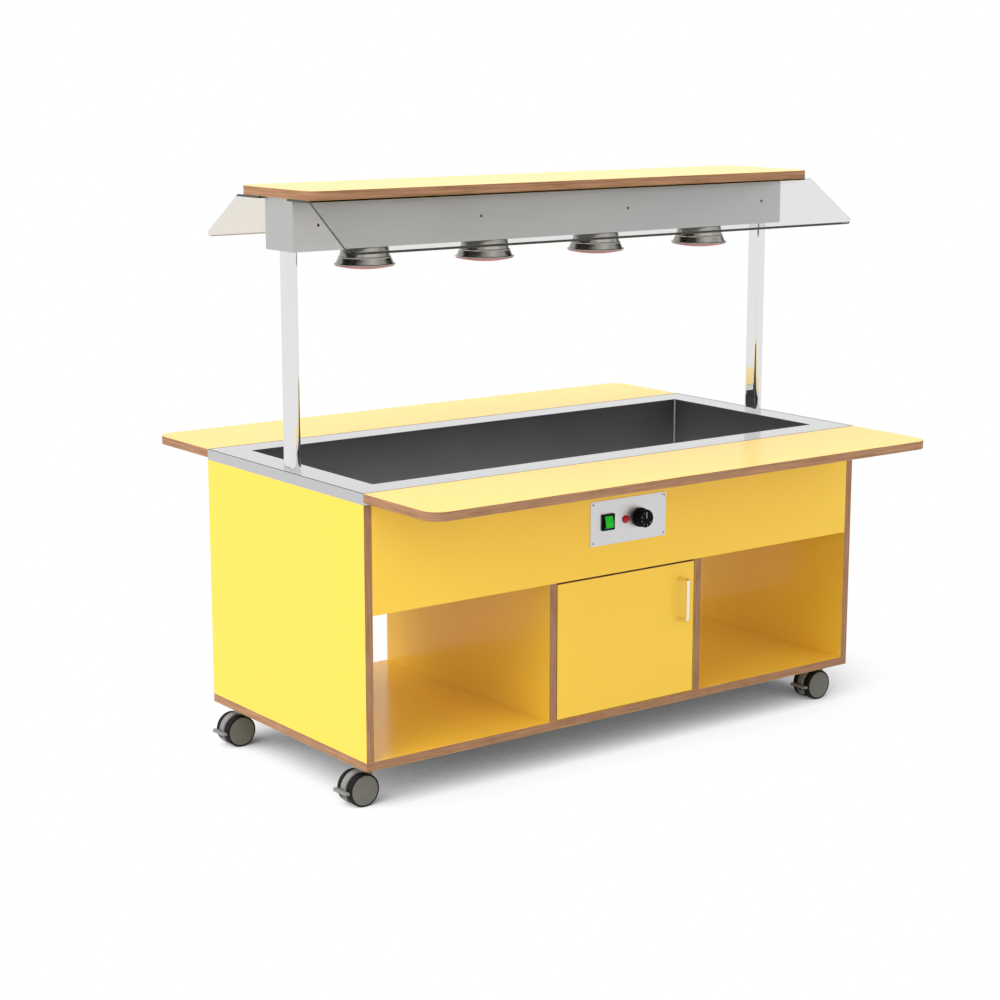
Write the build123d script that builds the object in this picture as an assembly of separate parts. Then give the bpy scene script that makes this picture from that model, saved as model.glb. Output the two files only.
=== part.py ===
from build123d import *
import os
from math import cos, radians, sin, sqrt

# Mobile steam table: a laminated plywood cabinet on braked twin-wheel casters, with a stainless
# worktop and heated well, tray shelves on both long sides, and a lamp canopy on two oval posts.
# Millimetres. The floor is z = 0, +Z is up, the front is towards -Y, and x = y = 0 is the middle.

# Cabinet
cabinet_length = 1450
cabinet_depth = 665
worktop_height = 705.5
board = 20
bay_height = 324
cupboard_width = 416
board_arris = 0.6
tray_shelf_width = 255
tray_shelf_corner = 40
skirt_height = 25
sheet = 1.5
sheet_bend = 1.4

# Well
well_end_rim = 73
well_side_rim = 75.5
well_above_deck = 46.5
well_corner = 5
well_flange = 12
heater_length = 270
heater_width = 400
heater_thickness = 6
heater_count = 4

# Drain, inside the cupboard
drain_from_divider = 88
drain_from_well_side = 52
drain_recess_radius = 32
drain_recess_depth = 3
drain_pipe_radius = 17
drain_pipe_wall = 2.5
drain_pipe_drop = 20
valve_radius = 22
valve_length = 52
valve_spout_length = 20
valve_stem_radius = 5
valve_stem_length = 12
lever_length = 85
lever_width = 16
lever_thickness = 4

# Door
door_side_gap = 2.5
door_top_gap = 4
door_bottom_gap = 1.5
handle_from_edge = 44
handle_centres = 98
handle_below_top = 36
handle_projection = 34
handle_radius = 5
handle_bend = 8
hinge_from_end = 70
hinge_cup_radius = 17.5
hinge_cup_depth = 12.5
hinge_cup_wall = 1
hinge_cup_edge = 5
hinge_plate_length = 48
hinge_plate_height = 44
hinge_plate_thickness = 3
hinge_arm_width = 14
hinge_arm_thickness = 6
hinge_tip_depth = 4
catch_length = 40
catch_height = 16
catch_width = 13
strike_thickness = 1.2

# Shelf brackets under the tray shelves
bracket_reach = 180
bracket_height = 58
bracket_width = 30
bracket_metal = 4
bracket_gusset = 4
bracket_from_end = 185
bracket_off_divider = 7

# Control plate and its fittings
plate_length = 225
plate_height = 104
plate_lift = 1.2
plate_margin = 7
plate_cutout_margin = 14
plate_screw_radius = 3.2
screw_head_height = 2
screw_shank_radius = 1.9
screw_shank_length = 12
control_lift = 1
switch_x = -62
switch_length = 36
switch_height = 38
switch_bezel = 4
switch_body_depth = 26
rocker_length = 25
rocker_height = 32
rocker_proud = 8
rocker_tilt = 9
pilot_x = -9
pilot_radius = 9.4
pilot_dome = 7
pilot_stem_radius = 6
pilot_stem_length = 30
knob_x = 33
knob_radius = 22.5
knob_skirt_depth = 7
knob_grip_radius = 21
knob_depth = 26
knob_flutes = 12
knob_flute_radius = 2
thermostat_size = 44
thermostat_depth = 30
bush_radius = 6
bush_length = 7
spindle_radius = 3

# Supply gland in the rear fascia
gland_from_end = 165
gland_above_bay = 50
gland_thread_radius = 10
gland_hex = 24
gland_hex_thickness = 6
gland_dome_length = 14
gland_bore_radius = 4.5

# Posts and canopy
post_width = 25
post_depth = 50
post_wall = 2
post_from_end = 29
post_plug = 14
post_plate_length = 44
post_plate_thickness = 4
post_bolt_radius = 5
post_bolt_head_radius = 7.8
post_bolt_head_height = 8
top_bolt_radius = 3
top_bolt_head_radius = 5.5
top_bolt_head_height = 4
top_bolt_spread = 46
hood_set_in = 6
hood_width = 115
hood_height = 116
canopy_height = 1326.5
canopy_overhang = 8
canopy_width = 308
canopy_corner = 40
hood_screw_count = 4
hood_screw_drop = 60
hood_screw_from_end = 65

# Sneeze guards
guard_thickness = 5
guard_inner_gap = 1.5
guard_bend_inset = 4
guard_reach = 152
guard_drop = 102
guard_bend_radius = 8
guard_corner = 20
guard_screw_count = 5
guard_screw_from_end = 73
guard_screw_y = 100
guard_screw_radius = 3
guard_screw_head_radius = 6
guard_screw_head_height = 2.5
guard_screw_into_board = 13

# Heat lamps
lamp_count = 4
lamp_from_end = 221
lamp_rim_drop = 41
lamp_rim_radius = 69
lamp_wall = 1.2
lamp_ridge_radius = 58.5
lamp_ridge_rise = 17
lamp_waist_radius = 52
lamp_waist_rise = 44
lamp_shoulder_radius = 40
lamp_shoulder_rise = 74
lamp_neck_radius = 23
lamp_neck_rise = 100
bulb_face_drop = 10.5
bulb_rim_drop = 2.5
bulb_gap = 0.8
bulb_lip = 3.5
bulb_reflector_rise = 68
bulb_neck_radius = 20
bulb_cap_radius = 13
bulb_cap_rise = 122
holder_radius = 19

# Casters
wheel_radius = 37.5
caster_from_end = 37.2
caster_from_side = 66.3
caster_trail = 17.2
caster_width = 57
hood_block_width = 18.5
wheel_side_gap = 0.5
tread_width = 4.5
tyre_round = 2
cover_dome = 0.8
axle_radius = 4
running_gap = 0.05
moving_gap = 0.5
fender_over_wheel = 3.5
fender_clearance = 15
fender_start = 62
fender_end = 217
fender_round = 2
axle_boss_radius = 11
caster_head_radius = 20
caster_neck_reach = 14
caster_plate_size = 56
caster_plate_thickness = 3
swivel_pin_radius = 6
swivel_pin_length = 14
pedal_reach = 50.3
pedal_width = 53
pedal_thickness = 6
pedal_above_axle = 2.5
pedal_corner = 6
pedal_tongue_width = 12
pedal_pivot_in = 24
pedal_pin_radius = 2
pedal_eye_radius = 5
pedal_travel = 12

# Clearances between pieces that are fixed together
seat_gap = 0.5
hole_gap = 0.1
tank_gap = 1.5

# Levels and planes that follow from the sizes above
end_x = cabinet_length / 2
front_y = cabinet_depth / 2
inner_x = end_x - board
inner_y = front_y - board
fender_radius = wheel_radius + fender_over_wheel
underside_height = wheel_radius + fender_radius + fender_clearance
floor_top = underside_height + board
bay_top = floor_top + bay_height
panel_top = worktop_height - skirt_height
sheet_under = worktop_height - sheet
divider_x = cupboard_width / 2
shelf_under = worktop_height - board
well_length = cabinet_length - 2 * well_end_rim
well_width = cabinet_depth - 2 * well_side_rim
tank_bottom = bay_top + board + well_above_deck
drain_x = drain_from_divider - divider_x
drain_y = well_width / 2 - drain_from_well_side
gland_x = end_x - gland_from_end
gland_height = bay_top + gland_above_bay
pedal_height = wheel_radius + pedal_above_axle
plate_centre_height = (bay_top + panel_top) / 2 + plate_lift
control_height = plate_centre_height + control_lift
plate_screw_xs = [-plate_length / 2 + plate_margin, plate_length / 2 - plate_margin]
plate_screw_zs = [
    plate_centre_height - plate_height / 2 + plate_margin,
    plate_centre_height + plate_height / 2 - plate_margin,
]
bracket_outer_x = end_x - bracket_from_end
bracket_inner_x = divider_x + bracket_off_divider
bracket_xs = [-bracket_outer_x, -bracket_inner_x, bracket_inner_x, bracket_outer_x]
post_x = end_x - post_from_end
canopy_under = canopy_height - board
canopy_length = cabinet_length + 2 * canopy_overhang
hood_half = hood_width / 2
hood_length = cabinet_length - 2 * hood_set_in
hood_top_under = canopy_under - sheet
hood_bottom_height = canopy_under - hood_height
hood_screw_height = canopy_under - hood_screw_drop
hood_screw_pitch = (hood_length - 2 * hood_screw_from_end) / (hood_screw_count - 1)
hood_screw_xs = [(i - (hood_screw_count - 1) / 2) * hood_screw_pitch for i in range(hood_screw_count)]
guard_length = canopy_length
guard_bend_y = canopy_width / 2 - guard_bend_inset
guard_lower_y = guard_bend_y + guard_reach
guard_lower_height = canopy_under - guard_drop
guard_screw_pitch = (guard_length - 2 * guard_screw_from_end) / (guard_screw_count - 1)
guard_screw_xs = [(i - (guard_screw_count - 1) / 2) * guard_screw_pitch for i in range(guard_screw_count)]
lamp_pitch = (hood_length - 2 * lamp_from_end) / (lamp_count - 1)
lamp_xs = [(i - (lamp_count - 1) / 2) * lamp_pitch for i in range(lamp_count)]
lamp_rim_height = hood_bottom_height - lamp_rim_drop
plate_front_y = -front_y - sheet
caster_spots = {
    "front_left": (-end_x + caster_from_end, -front_y + caster_from_side),
    "front_right": (end_x - caster_from_end, -front_y + caster_from_side),
    "rear_left": (-end_x + caster_from_end, front_y - caster_from_side),
    "rear_right": (end_x - caster_from_end, front_y - caster_from_side),
}
nodes = {}


def block(x0, x1, y0, y1, z0, z1):
    """A box between two corners."""
    centre = Pos((x0 + x1) / 2, (y0 + y1) / 2, (z0 + z1) / 2)
    return centre * Box(abs(x1 - x0), abs(y1 - y0), abs(z1 - z0))


def upright(radius, x, y, z0, z1):
    """A cylinder along Z from z0 to z1."""
    return Pos(x, y, (z0 + z1) / 2) * Cylinder(radius, abs(z1 - z0))


def across(radius, x, z, y0, y1):
    """A cylinder along Y from y0 to y1."""
    return Pos(x, (y0 + y1) / 2, z) * Rot(90, 0, 0) * Cylinder(radius, abs(y1 - y0))


def group(pieces):
    """Separate solids kept in one node."""
    return Compound(children=list(pieces))


def turned(points, x=0, y=0, z=0):
    """A solid of revolution about Z from (radius, height) points."""
    outline = Polyline(*[(r, 0, h) for r, h in points], close=True)
    return Pos(x, y, z) * revolve(make_face(outline), Axis.Z)


def eased(solid, size=board_arris):
    """A board with its outer edges broken by a small arris."""
    return chamfer(solid.edges(), size)


# Cabinet boards
def side_panel(side):
    return block(side * inner_x, side * end_x, -front_y, front_y, floor_top, panel_top)


def divider(side):
    return block(side * divider_x, side * (divider_x + board), -front_y, front_y, floor_top, bay_top)


def bottom_panel():
    return block(-end_x, end_x, -front_y, front_y, underside_height, floor_top)


def deck_panel():
    deck = block(-inner_x, inner_x, -inner_y, inner_y, bay_top, bay_top + board)
    pipe_hole = upright(drain_pipe_radius + tank_gap, drain_x, drain_y, bay_top, bay_top + board)
    return deck - pipe_hole


def cupboard_back():
    return block(-divider_x, divider_x, inner_y, front_y, floor_top, bay_top)


def fascia_front():
    fascia = block(-inner_x, inner_x, -front_y, -inner_y, bay_top, panel_top)
    half_length = plate_length / 2 - plate_cutout_margin
    half_height = plate_height / 2 - plate_cutout_margin
    cutout = block(
        -half_length,
        half_length,
        -front_y,
        -inner_y,
        plate_centre_height - half_height,
        plate_centre_height + half_height,
    )
    fascia -= cutout
    for x in plate_screw_xs:
        for z in plate_screw_zs:
            depth = screw_shank_length - sheet
            fascia -= across(screw_shank_radius + hole_gap, x, z, -front_y, -front_y + depth)
    return fascia


def fascia_rear():
    fascia = block(-inner_x, inner_x, inner_y, front_y, bay_top, panel_top)
    return fascia - across(gland_thread_radius + hole_gap, gland_x, gland_height, inner_y, front_y)


def tray_shelf(side):
    outer_y = front_y + tray_shelf_width
    shelf = block(-end_x, end_x, side * front_y, side * outer_y, shelf_under, worktop_height)
    outer_edges = shelf.edges().filter_by(Axis.Z).sort_by(Axis.Y)
    corners = outer_edges[:2] if side < 0 else outer_edges[-2:]
    shelf = fillet(corners, tray_shelf_corner)
    rims = shelf.faces().filter_by(Axis.Z)
    return chamfer(rims.edges(), board_arris)


def shelf_bracket(x, side):
    """A steel angle with a tapered gusset, under one tray shelf."""
    face_y = side * front_y
    leg = block(
        x - bracket_width / 2,
        x + bracket_width / 2,
        face_y,
        face_y + side * bracket_metal,
        shelf_under - bracket_height,
        shelf_under,
    )
    arm = block(
        x - bracket_width / 2,
        x + bracket_width / 2,
        face_y,
        face_y + side * bracket_reach,
        shelf_under - bracket_metal,
        shelf_under,
    )
    web_x = x - bracket_gusset / 2
    corner_y = face_y + side * bracket_metal
    tip_y = face_y + side * (bracket_reach - bracket_metal)
    web_points = [
        (web_x, corner_y, shelf_under - bracket_metal),
        (web_x, tip_y, shelf_under - bracket_metal),
        (web_x, corner_y, shelf_under - bracket_height),
    ]
    web = extrude(make_face(Polyline(*web_points, close=True)), bracket_gusset, dir=(1, 0, 0))
    return leg + arm + web


def shelf_brackets():
    return group(shelf_bracket(x, side) for side in (-1, 1) for x in bracket_xs)


# Worktop and well
def worktop():
    shell = block(-end_x, end_x, -front_y, front_y, panel_top, worktop_height)
    top_edges = shell.faces().sort_by(Axis.Z)[-1].edges()
    shell = fillet(top_edges, sheet_bend)
    shell -= block(-end_x + sheet, end_x - sheet, -front_y + sheet, front_y - sheet, panel_top, sheet_under)
    shell -= well_space(sheet_under, worktop_height)
    for side in (-1, 1):
        shell -= upright(post_bolt_radius + hole_gap, side * post_x, 0, sheet_under, worktop_height)
    return shell


def well_space(z0, z1, grow=0):
    """The plan of the well between two heights, with its corner radius."""
    space = block(
        -well_length / 2 - grow,
        well_length / 2 + grow,
        -well_width / 2 - grow,
        well_width / 2 + grow,
        z0,
        z1,
    )
    return fillet(space.edges().filter_by(Axis.Z), well_corner + grow)


def worktop_frame():
    """The board ring that carries the worktop on the panels and holds the posts."""
    frame = block(
        -end_x + sheet + seat_gap,
        end_x - sheet - seat_gap,
        -front_y + sheet + seat_gap,
        front_y - sheet - seat_gap,
        panel_top,
        sheet_under,
    )
    inset_x = well_length / 2 + sheet + well_flange + tank_gap
    inset_y = well_width / 2 + sheet + well_flange + tank_gap
    frame -= block(-inset_x, inset_x, -inset_y, inset_y, panel_top, sheet_under)
    for side in (-1, 1):
        frame -= upright(post_bolt_radius + hole_gap, side * post_x, 0, panel_top, sheet_under)
    return frame


def well_tank():
    """The welded tank: walls, an out-turned top flange and a dished drain seat."""
    tank = well_space(tank_bottom, sheet_under, sheet)
    tank += well_space(sheet_under - sheet, sheet_under, sheet + well_flange)
    tank += upright(
        drain_recess_radius + sheet,
        drain_x,
        drain_y,
        tank_bottom - drain_recess_depth,
        tank_bottom,
    )
    tank -= well_space(tank_bottom + sheet, sheet_under)
    tank -= upright(
        drain_recess_radius,
        drain_x,
        drain_y,
        tank_bottom + sheet - drain_recess_depth,
        tank_bottom + sheet,
    )
    tank -= upright(
        drain_pipe_radius + hole_gap,
        drain_x,
        drain_y,
        tank_bottom - drain_recess_depth,
        tank_bottom + sheet,
    )
    return tank


def well_heaters():
    """Flat heater plates clamped under the tank, notched round the drain."""
    pitch = well_length / heater_count
    plates = []
    for i in range(heater_count):
        x = (i - (heater_count - 1) / 2) * pitch
        plate = block(
            x - heater_length / 2,
            x + heater_length / 2,
            -heater_width / 2,
            heater_width / 2,
            tank_bottom - heater_thickness,
            tank_bottom,
        )
        notch = upright(
            drain_recess_radius + sheet + tank_gap,
            drain_x,
            drain_y,
            tank_bottom - heater_thickness,
            tank_bottom,
        )
        plates.append(plate - notch)
    return group(plates)


# Drain
seat_top = tank_bottom + sheet - drain_recess_depth
pipe_end = bay_top - drain_pipe_drop
valve_bottom = pipe_end - valve_length
valve_centre = pipe_end - valve_length / 2


def drain_fitting():
    """A flanged waste with a crossbar strainer and its tail pipe."""
    bore = drain_pipe_radius - drain_pipe_wall
    flange = upright(drain_recess_radius - seat_gap, drain_x, drain_y, seat_top, seat_top + sheet)
    pipe = upright(drain_pipe_radius, drain_x, drain_y, pipe_end, seat_top)
    fitting = flange + pipe - upright(bore, drain_x, drain_y, pipe_end, seat_top + sheet)
    for turn in (0, 90):
        bar = Pos(drain_x, drain_y, seat_top + sheet / 2) * Rot(0, 0, turn)
        fitting += bar * Box(2 * bore, drain_pipe_wall, sheet)
    return fitting


def drain_valve():
    """The ball valve body under the tail pipe, with its stem boss towards the door."""
    bore = drain_pipe_radius - drain_pipe_wall
    body = upright(valve_radius, drain_x, drain_y, valve_bottom, pipe_end)
    body = chamfer(body.edges().filter_by(GeomType.CIRCLE), valve_radius / 8)
    body += upright(drain_pipe_radius, drain_x, drain_y, valve_bottom - valve_spout_length, valve_bottom)
    boss_y = drain_y - valve_radius - valve_stem_radius
    body += across(2 * valve_stem_radius, drain_x, valve_centre, boss_y, drain_y)
    body -= upright(bore, drain_x, drain_y, valve_bottom - valve_spout_length, pipe_end)
    body -= across(valve_stem_radius + running_gap, drain_x, valve_centre, boss_y, drain_y - bore)
    return body


def drain_lever():
    """The quarter-turn lever with its stem, closed across the pipe."""
    boss_y = drain_y - valve_radius - valve_stem_radius
    near_y = boss_y - moving_gap
    stem = across(valve_stem_radius, drain_x, valve_centre, near_y, near_y + valve_stem_length)
    hub = across(lever_width / 2, drain_x, valve_centre, near_y - lever_thickness, near_y)
    arm = block(
        drain_x,
        drain_x + lever_length,
        near_y - lever_thickness,
        near_y,
        valve_centre - lever_width / 2,
        valve_centre + lever_width / 2,
    )
    tip_edges = arm.edges().filter_by(Axis.Y).sort_by(Axis.X)[-2:]
    arm = fillet(tip_edges, lever_width / 2.5)
    return hub + arm + stem


# Door
door_left = -divider_x + door_side_gap
door_right = divider_x - door_side_gap
door_bottom = floor_top + door_bottom_gap
door_top = bay_top - door_top_gap
hinge_zs = [door_bottom + hinge_from_end, door_top - hinge_from_end]
hinge_cup_x = door_left + hinge_cup_edge + hinge_cup_radius
handle_x = door_right - handle_from_edge
handle_high = door_top - handle_below_top
handle_low = handle_high - handle_centres
catch_z = door_top - catch_height


def door_panel():
    door = eased(block(door_left, door_right, -front_y, -inner_y, door_bottom, door_top))
    for z in hinge_zs:
        door -= across(hinge_cup_radius, hinge_cup_x, z, -inner_y - hinge_cup_depth, -inner_y)
    return door


def hinge_cup(z):
    """A hinge cup seated in the door with its fixing flange on the back of the door."""
    cup = across(hinge_cup_radius, hinge_cup_x, z, -inner_y - hinge_cup_depth, -inner_y)
    wing = block(
        hinge_cup_x - hinge_cup_radius / 2,
        hinge_cup_x + hinge_cup_radius / 2,
        -inner_y,
        -inner_y + hinge_cup_wall,
        z - hinge_plate_height / 2 - hinge_cup_edge,
        z + hinge_plate_height / 2 + hinge_cup_edge,
    )
    cup += across(hinge_cup_radius, hinge_cup_x, z, -inner_y, -inner_y + hinge_cup_wall)
    cup += wing
    return cup - across(
        hinge_cup_radius - hinge_cup_wall,
        hinge_cup_x,
        z,
        -inner_y - hinge_cup_depth + hinge_cup_wall,
        -inner_y + hinge_cup_wall,
    )


def door_strike():
    return block(
        door_right - hinge_cup_edge - catch_width,
        door_right - hinge_cup_edge,
        -inner_y,
        -inner_y + strike_thickness,
        catch_z - catch_height,
        catch_z + catch_height,
    )


def hinge_arm(z):
    """A cranked hinge arm on its plate, from the divider to the mouth of the cup."""
    behind = -inner_y + hinge_cup_wall + moving_gap
    plate = block(
        -divider_x,
        -divider_x + hinge_plate_thickness,
        behind + hinge_arm_thickness,
        behind + hinge_arm_thickness + hinge_plate_length,
        z - hinge_plate_height / 2,
        z + hinge_plate_height / 2,
    )
    rail = block(
        -divider_x + hinge_plate_thickness,
        -divider_x + hinge_plate_thickness + hinge_arm_thickness,
        behind,
        behind + hinge_arm_thickness + hinge_plate_length,
        z - hinge_arm_width / 2,
        z + hinge_arm_width / 2,
    )
    reach = block(
        -divider_x + hinge_plate_thickness,
        hinge_cup_x + hinge_arm_thickness,
        behind,
        behind + hinge_arm_thickness,
        z - hinge_arm_width / 2,
        z + hinge_arm_width / 2,
    )
    tip = block(
        hinge_cup_x - hinge_arm_thickness / 2,
        hinge_cup_x + hinge_arm_thickness,
        -inner_y - hinge_tip_depth,
        behind,
        z - hinge_arm_width / 3,
        z + hinge_arm_width / 3,
    )
    return plate + rail + reach + tip


def door_catch():
    """A magnetic catch on the right divider, just behind the closed door."""
    near = -inner_y + strike_thickness + moving_gap
    case = block(
        divider_x - catch_width,
        divider_x,
        near,
        near + catch_length,
        catch_z - catch_height / 2,
        catch_z + catch_height / 2,
    )
    return fillet(case.edges().filter_by(Axis.Z), catch_width / 6)


def door_handle():
    """A bow handle bent from round bar."""
    out_y = -front_y - handle_projection + handle_radius
    path = FilletPolyline(
        (handle_x, -front_y, handle_low),
        (handle_x, out_y, handle_low),
        (handle_x, out_y, handle_high),
        (handle_x, -front_y, handle_high),
        radius=handle_bend,
    )
    start = Plane(origin=(handle_x, -front_y, handle_low), z_dir=(0, -1, 0))
    return sweep(start * Circle(handle_radius), path=path)


# Control plate
def control_plate():
    plate = block(
        -plate_length / 2,
        plate_length / 2,
        plate_front_y,
        -front_y,
        plate_centre_height - plate_height / 2,
        plate_centre_height + plate_height / 2,
    )
    plate = fillet(plate.edges().filter_by(Axis.Y), sheet)
    for x in plate_screw_xs:
        for z in plate_screw_zs:
            plate -= across(screw_shank_radius + hole_gap, x, z, plate_front_y, -front_y)
    switch_half = switch_length / 2 - switch_bezel + hole_gap
    switch_rise = switch_height / 2 - switch_bezel + hole_gap
    plate -= block(
        switch_x - switch_half,
        switch_x + switch_half,
        plate_front_y,
        -front_y,
        control_height - switch_rise,
        control_height + switch_rise,
    )
    plate -= across(pilot_stem_radius + hole_gap, pilot_x, control_height, plate_front_y, -front_y)
    plate -= across(bush_radius + hole_gap, knob_x, control_height, plate_front_y, -front_y)
    return plate


def pan_screw(x, z, face_y, side):
    """A domed-head screw through a sheet, with its head outside the face."""
    head = across(plate_screw_radius, x, z, face_y + side * screw_head_height, face_y)
    outer = head.edges().filter_by(GeomType.CIRCLE).sort_by(Axis.Y)
    head = fillet(outer[0] if side < 0 else outer[-1], screw_head_height * 0.7)
    return head + across(screw_shank_radius, x, z, face_y, face_y - side * screw_shank_length)


def cover_screws():
    """The screws of the control plate and of the canopy hood's two long faces."""
    screws = [pan_screw(x, z, plate_front_y, -1) for x in plate_screw_xs for z in plate_screw_zs]
    for side in (-1, 1):
        screws += [pan_screw(x, hood_screw_height, side * hood_half, side) for x in hood_screw_xs]
    return group(screws)


rocker_centre_y = plate_front_y - switch_bezel / 2
rocker_deep = rocker_proud + switch_bezel


def switch_housing():
    """The rocker switch's bezel and its body behind the plate."""
    bezel = block(
        switch_x - switch_length / 2,
        switch_x + switch_length / 2,
        plate_front_y - switch_bezel,
        plate_front_y,
        control_height - switch_height / 2,
        control_height + switch_height / 2,
    )
    bezel = fillet(bezel.edges().filter_by(Axis.Y), switch_bezel / 2)
    bezel += block(
        switch_x - switch_length / 2 + switch_bezel,
        switch_x + switch_length / 2 - switch_bezel,
        plate_front_y,
        plate_front_y + switch_body_depth,
        control_height - switch_height / 2 + switch_bezel,
        control_height + switch_height / 2 - switch_bezel,
    )
    return bezel - block(
        switch_x - rocker_length / 2 - moving_gap,
        switch_x + rocker_length / 2 + moving_gap,
        plate_front_y - switch_bezel,
        plate_front_y + rocker_deep + moving_gap,
        control_height - rocker_height / 2 - moving_gap,
        control_height + rocker_height / 2 + moving_gap,
    )


def switch_rocker():
    """The rocker: a hub on the tilt axis and a shallow V of two pads, tilted to one side at rest."""
    half = rocker_height / 2 - moving_gap
    proud = rocker_proud
    outline = [
        (rocker_centre_y - proud / 2, half * 0.96),
        (rocker_centre_y - proud * 0.66, 0),
        (rocker_centre_y - proud / 2, -half * 0.96),
        (rocker_centre_y + switch_bezel / 2, -half * 0.8),
        (rocker_centre_y + rocker_deep * 0.7, 0),
        (rocker_centre_y + switch_bezel / 2, half * 0.8),
    ]
    points = [(switch_x - rocker_length / 2, y, control_height + z) for y, z in outline]
    body = extrude(make_face(Polyline(*points, close=True)), rocker_length, dir=(1, 0, 0))
    tilt_axis = Axis((switch_x, rocker_centre_y, control_height), (1, 0, 0))
    return body.rotate(tilt_axis, -rocker_tilt)


def pilot_lamp():
    """The domed indicator: a lens on a flanged stem through the plate."""
    dome_radius = (pilot_radius**2 + pilot_dome**2) / (2 * pilot_dome)
    mid = radians(45) * pilot_dome / pilot_radius
    outline = Polyline(
        (0, pilot_stem_length),
        (pilot_stem_radius, pilot_stem_length),
        (pilot_stem_radius, 0),
        (pilot_radius, 0),
        (pilot_radius, -sheet),
    )
    lens = ThreePointArc(
        (pilot_radius, -sheet),
        (dome_radius * sin(mid), -sheet - pilot_dome + dome_radius * (1 - cos(mid))),
        (0, -sheet - pilot_dome),
    )
    half = make_face(outline + lens + Line((0, -sheet - pilot_dome), (0, pilot_stem_length)))
    lamp = revolve(half, Axis.Y)
    return Pos(pilot_x, plate_front_y, control_height) * lamp


def thermostat_body():
    """The thermostat behind the plate with the bush that carries its spindle."""
    case = block(
        knob_x - thermostat_size / 2,
        knob_x + thermostat_size / 2,
        -front_y,
        -front_y + thermostat_depth,
        control_height - thermostat_size / 2,
        control_height + thermostat_size / 2,
    )
    case = fillet(case.edges().filter_by(Axis.Y), thermostat_size / 10)
    case += across(bush_radius, knob_x, control_height, -front_y - bush_length, -front_y)
    return case - across(
        spindle_radius + running_gap,
        knob_x,
        control_height,
        -front_y - bush_length,
        -front_y + thermostat_depth / 2,
    )


def thermostat_knob():
    """A fluted knob over a flat skirt, hollow round the bush, on its spindle."""
    back_y = plate_front_y - moving_gap
    front = plate_front_y - knob_depth
    skirt = across(knob_radius, knob_x, control_height, back_y - knob_skirt_depth, back_y)
    grip = across(knob_grip_radius, knob_x, control_height, front, back_y)
    grip = chamfer(grip.edges().filter_by(GeomType.CIRCLE).sort_by(Axis.Y)[0], knob_flute_radius)
    for i in range(knob_flutes):
        turn = radians(360 * (i + 0.5) / knob_flutes)
        grip -= across(
            knob_flute_radius,
            knob_x + knob_grip_radius * cos(turn),
            control_height + knob_grip_radius * sin(turn),
            front,
            back_y,
        )
    knob = skirt + grip
    bush_front = -front_y - bush_length
    recess = bush_radius + 2 * moving_gap
    knob -= across(recess, knob_x, control_height, bush_front - moving_gap, back_y)
    return knob + across(
        spindle_radius,
        knob_x,
        control_height,
        bush_front - moving_gap,
        -front_y + thermostat_depth / 3,
    )


def cable_gland():
    """The supply gland: threaded stub, hexagon and dome nut, with an empty bore."""
    face_y = front_y
    hexagon = extrude(
        Plane(origin=(gland_x, face_y, gland_height), z_dir=(0, 1, 0))
        * RegularPolygon(gland_hex / 2, 6, major_radius=False),
        gland_hex_thickness,
    )
    dome = across(
        gland_thread_radius,
        gland_x,
        gland_height,
        face_y + gland_hex_thickness,
        face_y + gland_hex_thickness + gland_dome_length,
    )
    dome = fillet(dome.edges().filter_by(GeomType.CIRCLE).sort_by(Axis.Y)[-1], gland_thread_radius / 3)
    stub = across(gland_thread_radius, gland_x, gland_height, inner_y, face_y)
    bore = across(
        gland_bore_radius,
        gland_x,
        gland_height,
        inner_y,
        face_y + gland_hex_thickness + gland_dome_length,
    )
    return hexagon + dome + stub - bore


# Posts, canopy and guards
def post(side):
    """A flat-sided oval tube with a plugged foot and a fixing plate under the hood's top."""
    tube_top = hood_top_under - post_plate_thickness
    x = side * post_x
    height = tube_top - worktop_height
    section = SlotOverall(post_depth, post_width, rotation=90)
    hollow = SlotOverall(post_depth - 2 * post_wall, post_width - 2 * post_wall, rotation=90)
    tube = Pos(x, 0, worktop_height) * extrude(section, height)
    tube -= Pos(x, 0, worktop_height + post_plug) * extrude(hollow, height - post_plug)
    tube -= upright(post_bolt_radius + hole_gap, x, 0, worktop_height, worktop_height + post_plug)
    head = block(
        x - side * post_plate_length,
        x + side * post_width / 2,
        -hood_half + sheet + seat_gap,
        hood_half - sheet - seat_gap,
        tube_top,
        hood_top_under,
    )
    for y in (-top_bolt_spread / 2, top_bolt_spread / 2):
        head -= upright(top_bolt_radius + hole_gap, top_bolt_x(side), y, tube_top, hood_top_under)
    return tube + head


def top_bolt_x(side):
    """Half way along the free part of the post's head plate."""
    return side * (post_x - (post_plate_length + post_width / 2) / 2)


def post_fixings():
    """A foot bolt for each post, from under the frame, and two bolts in each head plate."""
    pieces = []
    for side in (-1, 1):
        x = side * post_x
        shank = upright(post_bolt_radius, x, 0, panel_top, worktop_height + post_plug)
        head = upright(post_bolt_head_radius, x, 0, panel_top - post_bolt_head_height, panel_top)
        pieces.append(shank + head)
        plate_under = hood_top_under - post_plate_thickness
        for y in (-top_bolt_spread / 2, top_bolt_spread / 2):
            bx = top_bolt_x(side)
            shank = upright(top_bolt_radius, bx, y, plate_under, canopy_under + board / 2)
            head = upright(top_bolt_head_radius, bx, y, plate_under - top_bolt_head_height, plate_under)
            pieces.append(shank + head)
    return group(pieces)


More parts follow.
